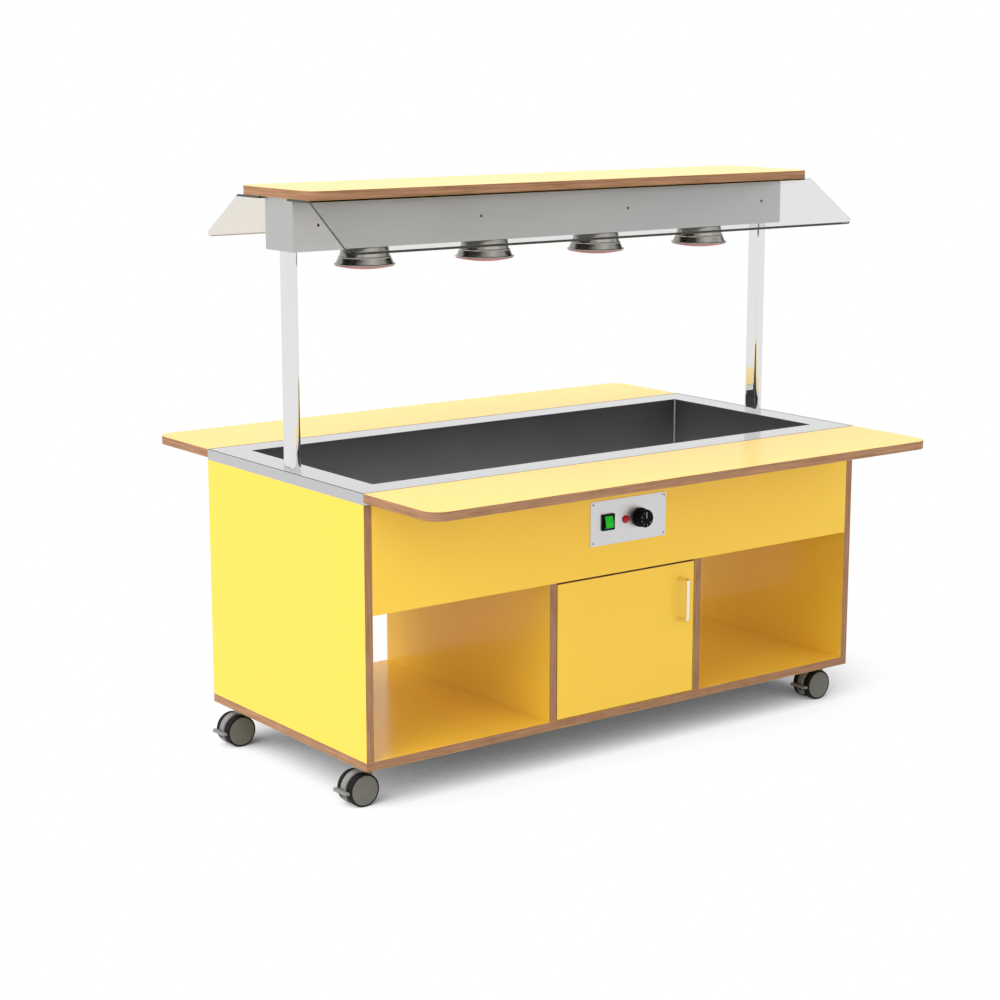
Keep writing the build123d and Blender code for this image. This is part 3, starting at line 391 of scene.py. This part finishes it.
def paintTankShadeAndHighlights(material, look=tankLook):
    low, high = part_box("well_tank")
    half = (high - low) / 2
    tree = material.node_tree
    shader = tree.nodes["Principled BSDF"]
    place = objectPlace(tree, centre=(low + high) / 2)
    # a painted highlight along the rounded corners of the walls
    inset = look["flange"] + look["cornerHighlightWidth"]
    nearEnd = isBeyond(tree, place, xAxis, half.x - inset)
    nearSide = isBeyond(tree, place, yAxis, half.y - inset)
    inHighlightCorner = mathNode(tree, "MULTIPLY", nearEnd, nearSide)
    # painted shade at the rim, lightening with depth into a painted reflection
    below = mathNode(tree, "SUBTRACT", high.z, axisOf(tree, objectPlace(tree), zAxis))
    wall = mottle(tree, below, (0, look["depth"]), 1.0, look["rim"], look["deep"])
    tree.links.new(mixColour(tree, inHighlightCorner, wall, look["cornerHighlight"]), shader.inputs["Base Color"])


paintTankShadeAndHighlights(wellSteel)


coverScrewLook = {
    "base": (0.62, 0.63, 0.65),
    "roughness": 0.3,
    "bright": (0.86, 0.86, 0.87),
    "dull": (0.70, 0.70, 0.71),
    "black": (0.05, 0.05, 0.05),
    "speck": {"scale": 400.0},
    "speckSpan": (0.35, 0.65),
    "speckAmount": 0.3,
    "bump": {"strength": 0.1, "distance": 0.0001},
}


def coverScrewMetal(look=coverScrewLook):
    # bright screws on the control plate, blackened ones on the hood
    material, tree, shader = newMaterial(
        "cover_screw_metal", look["base"], look["roughness"], metallic=1.0)
    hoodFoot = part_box("canopy_hood")[0].z
    height = axisOf(tree, objectPlace(tree), zAxis)
    onHood = mathNode(tree, "GREATER_THAN", height, hoodFoot)
    speck = noiseAt(tree, objectPlace(tree), **look["speck"])
    bright = mottle(tree, speck, look["speckSpan"], look["speckAmount"],
                    look["bright"], look["dull"])
    tree.links.new(mixColour(tree, onHood, bright, look["black"]), shader.inputs["Base Color"])
    bumpInto(tree, shader, speck, **look["bump"])
    return material


dress("cover_screws", coverScrewMetal())
print("metals dressed")


# plastics, rubber and glass
mouldLook = {
    "texture": {"detail": 2.0},
    "textureSpan": (0.3, 0.7),
    "smoother": 0.05,
    "rougher": 0.07,
    "wear": {"scale": 60.0},
    "wearSpan": (0.35, 0.7),
    "wearAmount": 0.18,
    "darker": 0.75,
    "bumpDistance": 0.0002,
}


def mouldedPlastic(name, colour, roughness, grain=1400.0, depth=0.12, look=mouldLook, **sockets):
    material, tree, shader = newMaterial(name, colour, roughness, **sockets)
    texture = noiseAt(tree, objectPlace(tree), scale=grain, **look["texture"])
    wear = noiseAt(tree, objectPlace(tree), **look["wear"])
    shade = mottle(tree, wear, look["wearSpan"], look["wearAmount"],
                   colour, darker(colour, look["darker"]))
    tree.links.new(shade, shader.inputs["Base Color"])
    rough = mapRange(tree, texture, look["textureSpan"],
                     (roughness - look["smoother"], roughness + look["rougher"]))
    tree.links.new(rough, shader.inputs["Roughness"])
    bumpInto(tree, shader, texture, depth, look["bumpDistance"])
    return material


blackPlastic = mouldedPlastic(
    "black_plastic", (0.002, 0.002, 0.0022), roughness=0.45, Specular_IOR_Level=0.08)
greyPlastic = mouldedPlastic("grey_plastic", (0.17, 0.17, 0.165), roughness=0.5)
whitePlastic = mouldedPlastic("white_plastic", (0.74, 0.74, 0.71), roughness=0.4)
ceramic = mouldedPlastic(
    "lamp_ceramic", (0.82, 0.80, 0.74), roughness=0.25, grain=500.0, depth=0.05)
redLens = mouldedPlastic(
    "red_lens", (0.42, 0.004, 0.010), roughness=0.12, depth=0.02, Specular_IOR_Level=0.3,
    Emission_Color=(0.8, 0.01, 0.02, 1), Emission_Strength=0.02)
printWhite = mouldedPlastic("print_white", (0.82, 0.82, 0.80), roughness=0.55, depth=0.03)
# flat black for the strips and discs that stand in for shade: at the worktop's joints and folds,
# and in screw recesses
paintedShadeDark = mouldedPlastic("painted_shade_dark", (0.03, 0.03, 0.03), roughness=0.6, depth=0.02)
markGreen = mouldedPlastic("mark_green", (0.10, 0.62, 0.14), roughness=0.4, depth=0.03)

plasticOf = {
    "switch_housing": blackPlastic,
    "thermostat_body": blackPlastic,
    "thermostat_knob": blackPlastic,
    "cable_gland": greyPlastic,
    "door_catch": whitePlastic,
    "lamp_holders": ceramic,
    "pilot_lamp": redLens,
}
for plasticNode, plastic in plasticOf.items():
    dress(plasticNode, plastic)


rockerLook = {
    "face": (0.002, 0.46, 0.010),
    "paler": (0.02, 0.75, 0.05),
    "side": (0.004, 0.004, 0.0045),
    "sideWidth": 0.0012,
    "roughness": 0.3,
    "shine": 0.15,
    "cloud": {"scale": 120.0, "detail": 2.0},
    "cloudSpan": (0.35, 0.7),
    "cloudAmount": 0.3,
    # a faint painted glow that brightens the green face
    "paintedGlow": (0.02, 0.7, 0.03),
    "paintedGlowStrength": 0.08,
    "bump": {"strength": 0.05, "distance": 0.0002},
}


def rockerMaterial(look=rockerLook):
    # green face let into a black rocker: the rim and the sides stay black, and the face is given
    # a faint painted glow
    low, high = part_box("switch_rocker")
    half = (high - low) / 2
    material, tree, shader = newMaterial(
        "rocker_plastic", look["face"], look["roughness"], Specular_IOR_Level=look["shine"],
        Emission_Strength=look["paintedGlowStrength"])
    place = objectPlace(tree, centre=(low + high) / 2)
    besideX = isBeyond(tree, place, xAxis, half.x - look["sideWidth"])
    besideZ = isBeyond(tree, place, zAxis, half.z - look["sideWidth"])
    isSide = mathNode(tree, "MAXIMUM", besideX, besideZ)
    cloud = noiseAt(tree, objectPlace(tree), **look["cloud"])
    green = mottle(tree, cloud, look["cloudSpan"], look["cloudAmount"],
                   look["face"], look["paler"])
    tree.links.new(mixColour(tree, isSide, green, look["side"]), shader.inputs["Base Color"])
    # the faint painted glow is on the green face only
    paintedGlow = mixColour(tree, isSide, look["paintedGlow"], (0, 0, 0))
    tree.links.new(paintedGlow, shader.inputs["Emission Color"])
    bumpInto(tree, shader, cloud, **look["bump"])
    return material


dress("switch_rocker", rockerMaterial())


casterLook = {
    "corners": ["front_left", "front_right", "rear_left", "rear_right"],
    "fender": (0.20, 0.20, 0.195),
    "fenderRoughness": 0.45,
    "disc": (0.155, 0.152, 0.135),
    "discShade": (0.11, 0.108, 0.10),
    "discSpan": (0.35, 0.7),
    "discAmount": 0.2,
    "discRoughness": 0.42,
    "discShare": 0.88,  # disc radius over tyre radius
    "tyre": (0.006, 0.006, 0.006),
    "tyreDust": (0.012, 0.0118, 0.0115),
    "tyreSpan": (0.4, 0.8),
    "tyreAmount": 0.5,
    "tyreRoughness": 0.7,
    "shine": 0.2,
    "grain": {"scale": 700.0, "detail": 2.0},
    "cloud": {"scale": 40.0},
    "bump": {"strength": 0.12, "distance": 0.0002},
}


def wheelMaterial(nodeName, look=casterLook):
    # grey disc inside the black tyre, told apart by the distance from the axle
    low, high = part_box(nodeName)
    radius = (high.z - low.z) / 2
    material, tree, shader = newMaterial(
        "wheel_" + nodeName, look["tyre"], look["tyreRoughness"],
        Specular_IOR_Level=look["shine"])
    place = objectPlace(tree, centre=(low + high) / 2, stretch=(1, 0, 1))
    fromAxle = tree.nodes.new("ShaderNodeVectorMath")
    fromAxle.operation = "LENGTH"
    tree.links.new(place, fromAxle.inputs[0])
    isTyre = mathNode(tree, "GREATER_THAN", fromAxle.outputs["Value"], look["discShare"] * radius)
    grain = noiseAt(tree, objectPlace(tree), **look["grain"])
    cloud = noiseAt(tree, objectPlace(tree), **look["cloud"])
    disc = mottle(tree, cloud, look["discSpan"], look["discAmount"],
                  look["disc"], look["discShade"])
    dusty = mottle(tree, cloud, look["tyreSpan"], look["tyreAmount"],
                   look["tyre"], look["tyreDust"])
    tree.links.new(mixColour(tree, isTyre, disc, dusty), shader.inputs["Base Color"])
    rough = either(tree, isTyre, look["discRoughness"], look["tyreRoughness"])
    tree.links.new(rough, shader.inputs["Roughness"])
    bumpInto(tree, shader, grain, **look["bump"])
    return material


fenderPlastic = mouldedPlastic(
    "fender_plastic", casterLook["fender"], casterLook["fenderRoughness"])
for corner in casterLook["corners"]:
    dress("caster_yoke_" + corner, fenderPlastic)
    dress("caster_brake_" + corner, fenderPlastic)
    for wheel in ("wheel_a_", "wheel_b_"):
        dress(wheel + corner, wheelMaterial(wheel + corner))


guardLook = {
    "sheet": (0.765, 0.765, 0.76),
    "refraction": 1.2,
    # painted shade on the flat top's edges; on the sloping edges painted shade for the front
    # guard and a painted highlight for the rear
    "flatEdgeShade": (0.06, 0.065, 0.065),
    "paintedSlopeEdge": {
        "sneeze_guard_front": (0.06, 0.065, 0.065),
        "sneeze_guard_rear": (0.52, 0.52, 0.49),
    },
    "flatThickness": 0.0052,
    "footHeight": 0.0032,
    "endNormal": 0.7,  # a face is a sawn end where its normal leans this far to the side
    "haze": {"scale": 9.0},
    "hazeSpan": (0.4, 0.8),
    "hazeRoughness": 0.02,
}


def guardMaterial(nodeName, look=guardLook):
    # clear sheet; its sawn edges are painted opaque, with painted shade on the front guard's
    # edges and on the flat top's edges, and a painted highlight on the rear guard's sloping
    # edges, standing in for the light that leaves there sideways
    low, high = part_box(nodeName)
    material, tree, shader = newMaterial(
        "guard_" + nodeName, look["sheet"], roughness=0.0, IOR=look["refraction"])
    geometry = tree.nodes.new("ShaderNodeNewGeometry")
    sideways = mathNode(tree, "ABSOLUTE", axisOf(tree, geometry.outputs["True Normal"], xAxis))
    sawnEnd = mathNode(tree, "GREATER_THAN", sideways, look["endNormal"])
    fromOutside = mathNode(tree, "SUBTRACT", 1.0, geometry.outputs["Backfacing"])
    sawnEnd = mathNode(tree, "MULTIPLY", sawnEnd, fromOutside)
    height = axisOf(tree, objectPlace(tree), zAxis)
    nearFoot = mathNode(tree, "LESS_THAN", height, low.z + look["footHeight"])
    isFlat = mathNode(tree, "GREATER_THAN", height, high.z - look["flatThickness"])
    isEdge = mathNode(tree, "MAXIMUM", sawnEnd, nearFoot)
    # the sawn edges are painted opaque in these colours of painted shade and highlight
    edge = mixColour(tree, isFlat, look["paintedSlopeEdge"][nodeName], look["flatEdgeShade"])
    tree.links.new(mixColour(tree, isEdge, look["sheet"], edge), shader.inputs["Base Color"])
    tree.links.new(either(tree, isEdge, 1.0, 0.0), shader.inputs["Transmission Weight"])
    haze = noiseAt(tree, objectPlace(tree), **look["haze"])
    hazy = mapRange(tree, haze, look["hazeSpan"], (0.0, look["hazeRoughness"]))
    tree.links.new(hazy, shader.inputs["Roughness"])
    return material


for guardNode in guardLook["paintedSlopeEdge"]:
    dress(guardNode, guardMaterial(guardNode))


bulbLook = {
    "base": (0.64, 0.25, 0.27),
    "pale": (0.70, 0.29, 0.31),
    "deep": (0.58, 0.21, 0.23),
    "roughness": 0.45,
    "shine": 0.15,
    "swirl": {"scale": 70.0},
    "swirlSpan": (0.3, 0.7),
    "swirlAmount": 0.3,
    "bump": {"strength": 0.15, "distance": 0.0006},
}


def bulbMaterial(look=bulbLook):
    material, tree, shader = newMaterial(
        "red_bulb", look["base"], look["roughness"], Specular_IOR_Level=look["shine"])
    swirl = noiseAt(tree, objectPlace(tree), **look["swirl"])
    tint = mottle(tree, swirl, look["swirlSpan"], look["swirlAmount"], look["pale"], look["deep"])
    tree.links.new(tint, shader.inputs["Base Color"])
    bumpInto(tree, shader, swirl, **look["bump"])
    return material


dress("lamp_bulbs", bulbMaterial())
print("plastics and glass dressed")


# helpers for the small trim, which is modelled here
trimLook = {
    "sharpAngle": 35,
    "letterThickness": 0.00006,
    "letterSteps": 3,
    "letterWeld": 0.000001,
    "mergeDistance": 0.00001,
    "rayStart": 0.05,  # in front of the node that the ray looks for
}


def finishPiece(name, mesh, material, body):
    for polygon in mesh.polygons:
        polygon.use_smooth = True
    mesh.set_sharp_from_angle(angle=radians(trimLook["sharpAngle"]))
    mesh.materials.clear()
    mesh.materials.append(material)
    piece = bpy.data.objects.new(name, mesh)
    bpy.context.scene.collection.objects.link(piece)
    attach(piece, body)


def meshOf(bm, name):
    bmesh.ops.recalc_face_normals(bm, faces=bm.faces)
    mesh = bpy.data.meshes.new(name)
    bm.to_mesh(mesh)
    bm.free()
    return mesh


def addBar(bm, low, high):
    # a box between two corners
    size = Vector(high) - Vector(low)
    made = bmesh.ops.create_cube(bm, size=1.0)
    bmesh.ops.scale(bm, vec=size, verts=made["verts"])
    bmesh.ops.translate(bm, vec=Vector(low) + size / 2, verts=made["verts"])


def addDisc(bm, centre, radius, thickness, axis, sides=24):
    # a short round bar along X, Y or Z
    turn = {
        "X": Matrix.Rotation(pi / 2, 4, "Y"),
        "Y": Matrix.Rotation(pi / 2, 4, "X"),
        "Z": Matrix.Identity(4),
    }
    bmesh.ops.create_cone(
        bm, cap_ends=True, segments=sides, radius1=radius, radius2=radius, depth=thickness,
        matrix=Matrix.Translation(centre) @ turn[axis])


def flatText(words, height, place, turn=0.0):
    # raised lettering on a face that looks towards -Y, turned about Y
    curve = bpy.data.curves.new("lettering", "FONT")
    curve.body = words
    curve.size = height
    curve.align_x = "CENTER"
    curve.align_y = "CENTER"
    curve.extrude = trimLook["letterThickness"]
    curve.resolution_u = trimLook["letterSteps"]
    holder = bpy.data.objects.new("lettering", curve)
    bpy.context.scene.collection.objects.link(holder)
    bpy.context.view_layer.update()
    mesh = bpy.data.meshes.new_from_object(holder)
    bpy.data.objects.remove(holder)
    bpy.data.curves.remove(curve)
    # its front, back and sides come apart, so they are welded, and all can face outwards
    letters = bmesh.new()
    letters.from_mesh(mesh)
    bmesh.ops.remove_doubles(letters, verts=letters.verts, dist=trimLook["letterWeld"])
    letters.to_mesh(mesh)
    letters.free()
    mesh.transform(Matrix.Rotation(turn, 4, "Y") @ Matrix.Rotation(pi / 2, 4, "X"))
    mesh.transform(Matrix.Translation(place))
    return mesh


def addMesh(bm, mesh):
    bm.from_mesh(mesh)
    bpy.data.meshes.remove(mesh)


def bmeshOfNode(nodeName):
    bm = bmesh.new()
    bm.from_mesh(nodes[nodeName].data)
    bm.transform(nodes[nodeName].matrix_world)
    return bm


def solidBoxes(nodeName):
    # the box of every separate solid in a node, in the order of the node's own corners
    bm = bmeshOfNode(nodeName)
    bmesh.ops.remove_doubles(bm, verts=bm.verts, dist=trimLook["mergeDistance"])
    boxes = []
    seen = set()
    for start in bm.verts:
        if start in seen:
            continue
        seen.add(start)
        reached = [start]
        corners = []
        while reached:
            vert = reached.pop()
            corners.append(vert.co.copy())
            for edge in vert.link_edges:
                other = edge.other_vert(vert)
                if other not in seen:
                    seen.add(other)
                    reached.append(other)
        low = Vector([min(corner[axis] for corner in corners) for axis in range(3)])
        high = Vector([max(corner[axis] for corner in corners) for axis in range(3)])
        boxes.append((low, high))
    bm.free()
    return boxes


def frontOf(nodeName, x, z):
    # where a ray that runs towards +Y meets a node, and the normal there
    bm = bmeshOfNode(nodeName)
    tree = BVHTree.FromBMesh(bm)
    start = Vector((x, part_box(nodeName)[0].y - trimLook["rayStart"], z))
    place, normal, _, _ = tree.ray_cast(start, Vector((0, 1, 0)))
    bm.free()
    return place, normal


knobScale = {
    "numbers": ["1", "2", "3", "4", "5", "6"],
    "numberHeight": 0.0042,
    "numberShare": 0.70,  # of the grip radius
    "firstAngle": 30,
    "step": 40,
    "pointerInner": 0.0010,
    "pointerOuter": 0.0155,
    "pointerWidth": 0.0010,
    "proud": 0.00012,
    "gripRadius": 0.021,
}


def makeKnobScale(look=knobScale):
    low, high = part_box("thermostat_knob")
    centreX = (low.x + high.x) / 2
    centreZ = (low.z + high.z) / 2
    halfWidth = look["pointerWidth"] / 2
    bm = bmesh.new()
    addBar(bm, (centreX - halfWidth, low.y - look["proud"], centreZ + look["pointerInner"]),
           (centreX + halfWidth, low.y + look["proud"], centreZ + look["pointerOuter"]))
    radius = look["numberShare"] * look["gripRadius"]
    for count, number in enumerate(look["numbers"]):
        angle = radians(look["firstAngle"] + count * look["step"])
        place = (centreX - radius * sin(angle), low.y, centreZ + radius * cos(angle))
        addMesh(bm, flatText(number, look["numberHeight"], place, turn=-angle))
    finishPiece("knob_scale", meshOf(bm, "knob_scale"), printWhite, "knob")


makeKnobScale()


# dark strips on the worktop: beads along the tray shelves for the joints there and the shade in
# them, and a painted shade line along the fold at each end
shadeLineLook = {
    "beadWidth": 0.0016,
    "foldWidth": 0.0022,
    "proud": 0.00025,
    "sunk": 0.0002,
}


def makeWorktopShadeLines(look=shadeLineLook):
    low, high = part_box("worktop")
    foot = high.z - look["sunk"]
    top = high.z + look["proud"]
    bm = bmesh.new()
    for edge, inner in ((low.y, low.y + look["beadWidth"]), (high.y, high.y - look["beadWidth"])):
        addBar(bm, (low.x, min(edge, inner), foot), (high.x, max(edge, inner), top))
    for edge, inner in ((low.x, low.x + look["foldWidth"]), (high.x, high.x - look["foldWidth"])):
        addBar(bm, (min(edge, inner), low.y, foot), (max(edge, inner), high.y, top))
    finishPiece("worktop_shade_lines", meshOf(bm, "worktop_shade_lines"), paintedShadeDark, "cabinet")


makeWorktopShadeLines()


# dark discs in the screws on the control plate and the hood: painted shade in their hexagon
# sockets
socketLook = {
    "share": 0.64,  # of the head radius
    "sides": 6,
    "proud": 0.00008,
    "deep": 0.0004,
}


def makeCoverSockets(look=socketLook):
    # these screws all look towards -Y
    bm = bmesh.new()
    for low, high in solidBoxes("cover_screws"):
        centre = (low + high) / 2
        place = (centre.x, low.y + (look["deep"] - look["proud"]) / 2, centre.z)
        radius = look["share"] * (high.x - low.x) / 2
        addDisc(bm, place, radius, look["deep"] + look["proud"], "Y", sides=look["sides"])
    finishPiece("cover_screw_sockets", meshOf(bm, "cover_screw_sockets"), paintedShadeDark,
                "cabinet")


makeCoverSockets()


# dark crosses in the guard screws: painted shade in their cross recesses
crossLook = {
    "share": 0.70,  # of the head radius
    "width": 0.0011,
    "proud": 0.00008,
    "deep": 0.0004,
}


def makeGuardCrosses(look=crossLook):
    # these screws look down
    bm = bmesh.new()
    for low, high in solidBoxes("guard_screws"):
        centre = (low + high) / 2
        reach = look["share"] * (high.x - low.x) / 2
        for dx, dy in ((reach, look["width"] / 2), (look["width"] / 2, reach)):
            addBar(bm, (centre.x - dx, centre.y - dy, low.z - look["proud"]),
                   (centre.x + dx, centre.y + dy, low.z + look["deep"]))
    finishPiece("guard_screw_crosses", meshOf(bm, "guard_screw_crosses"), paintedShadeDark,
                "cabinet")


makeGuardCrosses()


bracketScrewLook = {
    "radius": 0.0042,
    "height": 0.0018,
    "metal": 0.004,  # thickness of the bracket
    "fromWall": [0.050, 0.145],
    "fromShelf": [0.022, 0.044],
}


def makeBracketScrews(look=bracketScrewLook):
    # two under the shelf arm and two on the leg of every bracket, on each side of the gusset
    bm = bmesh.new()
    out = look["metal"] + look["height"] / 2
    for low, high in solidBoxes("shelf_brackets"):
        side = -1 if low.y < 0 else 1
        wall = high.y if side < 0 else low.y
        quarter = (high.x - low.x) / 4
        for shift in (-quarter, quarter):
            x = (low.x + high.x) / 2 + shift
            for reach in look["fromWall"]:
                place = (x, wall + side * reach, high.z - out)
                addDisc(bm, place, look["radius"], look["height"], "Z")
            for drop in look["fromShelf"]:
                place = (x, wall + side * out, high.z - drop)
                addDisc(bm, place, look["radius"], look["height"], "Y")
    finishPiece("bracket_screws", meshOf(bm, "bracket_screws"), zincSteel,
                "cabinet")


makeBracketScrews()


casterScrewLook = {
    "radius": 0.0042,
    "height": 0.0018,
    "sides": 6,
    "metal": 0.003,  # thickness of the plate
    "inset": 0.009,
}


def makeCasterScrews(look=casterScrewLook):
    # one at each corner of every caster plate
    bm = bmesh.new()
    for low, high in solidBoxes("caster_plates"):
        centre = (low + high) / 2
        half = (high.x - low.x) / 2 - look["inset"]
        under = high.z - look["metal"] - look["height"] / 2
        for dx in (-half, half):
            for dy in (-half, half):
                place = (centre.x + dx, centre.y + dy, under)
                addDisc(bm, place, look["radius"], look["height"], "Z", sides=look["sides"])
    finishPiece("caster_screws", meshOf(bm, "caster_screws"), zincSteel, "cabinet")


makeCasterScrews()


# small countersunk heads of the door hinges
hingeLook = {
    "radius": 0.0032,
    "height": 0.0010,
    "out": 0.00025,  # the middle of a head, from the metal
    "cupFromTip": 0.0055,
    "plateThickness": 0.003,
    "plateFromEnd": [0.011, 0.034],
    "plateRise": 0.0155,
}


def makeHingeScrews(look=hingeLook):
    # two in the flange of every cup, four in the plate of every arm
    bm = bmesh.new()
    for low, high in solidBoxes("hinge_cups"):
        for z in (low.z + look["cupFromTip"], high.z - look["cupFromTip"]):
            place = ((low.x + high.x) / 2, high.y + look["out"], z)
            addDisc(bm, place, look["radius"], look["height"], "Y")
    finishPiece("cup_screws", meshOf(bm, "cup_screws"), handleSteel, "door")
    bm = bmesh.new()
    for low, high in solidBoxes("hinge_arms"):
        x = low.x + look["plateThickness"] + look["out"]
        centreZ = (low.z + high.z) / 2
        for fromEnd in look["plateFromEnd"]:
            for rise in (-look["plateRise"], look["plateRise"]):
                place = (x, high.y - fromEnd, centreZ + rise)
                addDisc(bm, place, look["radius"], look["height"], "X")
    finishPiece("plate_screws", meshOf(bm, "plate_screws"), handleSteel, "cabinet")


makeHingeScrews()


# the on and off marks moulded into the rocker
markLook = {
    "height": 0.0078,
    "fromEnd": 0.0080,
}


def makeRockerMarks(look=markLook):
    low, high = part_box("switch_rocker")
    x = (low.x + high.x) / 2
    bm = bmesh.new()
    for word, z in (("I", high.z - look["fromEnd"]), ("O", low.z + look["fromEnd"])):
        place, normal = frontOf("switch_rocker", x, z)
        mesh = flatText(word, look["height"], (0, 0, 0))
        lean = atan2(normal.z, -normal.y)
        mesh.transform(Matrix.Translation(place) @ Matrix.Rotation(-lean, 4, "X"))
        addMesh(bm, mesh)
    finishPiece("rocker_marks", meshOf(bm, "rocker_marks"), markGreen, "rocker")


makeRockerMarks()
print("trim made")


# floor, light and camera
floorLook = {
    "size": 80.0,
    "bounce": 0.60,
    "shadowSamples": 16,
    "shadowReach": 0.55,
    "shadowLean": (-0.62, -0.25, 0.75),  # the side the soft light comes from
    "openSpan": (0.12, 0.80),  # from fully shaded to clear
    "shadowWhite": (0.03, 1.0),
}


def seenStraight(tree):
    # 1 for rays that show the background itself: from the camera, off metal or through glass
    path = tree.nodes.new("ShaderNodeLightPath")
    seen = mathNode(tree, "MAXIMUM", path.outputs["Is Camera Ray"], path.outputs["Is Glossy Ray"])
    return mathNode(tree, "MAXIMUM", seen, path.outputs["Is Transmission Ray"])


def makeFloor(look=floorLook):
    # plain pale floor: it bounces light as a grey one would, and seen straight it is white
    # with the soft shadow under the cabinet
    bm = bmesh.new()
    bmesh.ops.create_grid(bm, x_segments=1, y_segments=1, size=look["size"] / 2)
    floor = bpy.data.objects.new("floor", meshOf(bm, "floor"))
    bpy.context.scene.collection.objects.link(floor)
    material, tree, shader = newMaterial(
        "floor_white", (look["bounce"],) * 3, roughness=1.0, Specular_IOR_Level=0.0)
    unshaded = tree.nodes.new("ShaderNodeAmbientOcclusion")
    unshaded.samples = look["shadowSamples"]
    unshaded.inputs["Distance"].default_value = look["shadowReach"]
    lean = tree.nodes.new("ShaderNodeCombineXYZ")
    for axis, share in enumerate(look["shadowLean"]):
        lean.inputs[axis].default_value = share
    tree.links.new(lean.outputs[0], unshaded.inputs["Normal"])
    light = mapRange(tree, unshaded.outputs["AO"], look["openSpan"], look["shadowWhite"])
    light.node.interpolation_type = "SMOOTHSTEP"
    white = tree.nodes.new("ShaderNodeEmission")
    tree.links.new(light, white.inputs["Strength"])
    choose = tree.nodes.new("ShaderNodeMixShader")
    tree.links.new(seenStraight(tree), choose.inputs[0])
    tree.links.new(shader.outputs[0], choose.inputs[1])
    tree.links.new(white.outputs[0], choose.inputs[2])
    tree.links.new(choose.outputs[0], tree.nodes["Material Output"].inputs["Surface"])
    floor.data.materials.append(material)


worldLook = {
    "colour": (1, 1, 1, 1),
    "strength": 0.87,
    "seenStrength": 1.0,
}


def makeWorld(look=worldLook):
    world = bpy.data.worlds.new("studio")
    bpy.context.scene.world = world
    world.use_nodes = True
    tree = world.node_tree
    background = tree.nodes["Background"]
    background.inputs["Color"].default_value = look["colour"]
    strength = either(tree, seenStraight(tree), look["strength"], look["seenStrength"])
    tree.links.new(strength, background.inputs["Strength"])


sunLook = {
    "key": {"from": (-0.68, 0.02, 0.73), "strength": 2.65, "spread": 60},
    "fill": {"from": (0.04, -0.99, 0.13), "strength": 0.80, "spread": 75},
}
sunDistance = 5


def makeSun(name, look):
    light = bpy.data.lights.new(name, "SUN")
    light.energy = look["strength"]
    light.angle = radians(look["spread"])
    towards = Vector(look["from"])
    holder = bpy.data.objects.new(name, light)
    holder.location = towards * sunDistance
    holder.rotation_euler = (-towards).to_track_quat("-Z", "Y").to_euler()
    holder.visible_glossy = False
    bpy.context.scene.collection.objects.link(holder)


cameraLook = {
    "place": (-3.1895, -4.1350, 1.6102),
    "turn": (78.528, 0.0, -36.578),
    "lens": 79.12,
}


def makeCamera(look=cameraLook):
    camera = bpy.data.cameras.new("camera")
    camera.lens = look["lens"]
    holder = bpy.data.objects.new("camera", camera)
    holder.location = look["place"]
    holder.rotation_euler = [radians(angle) for angle in look["turn"]]
    bpy.context.scene.collection.objects.link(holder)
    bpy.context.scene.camera = holder


makeFloor()
makeWorld()
for sunName, sun in sunLook.items():
    makeSun(sunName, sun)
makeCamera()
bpy.context.scene.view_settings.view_transform = "Standard"
print("stage set")
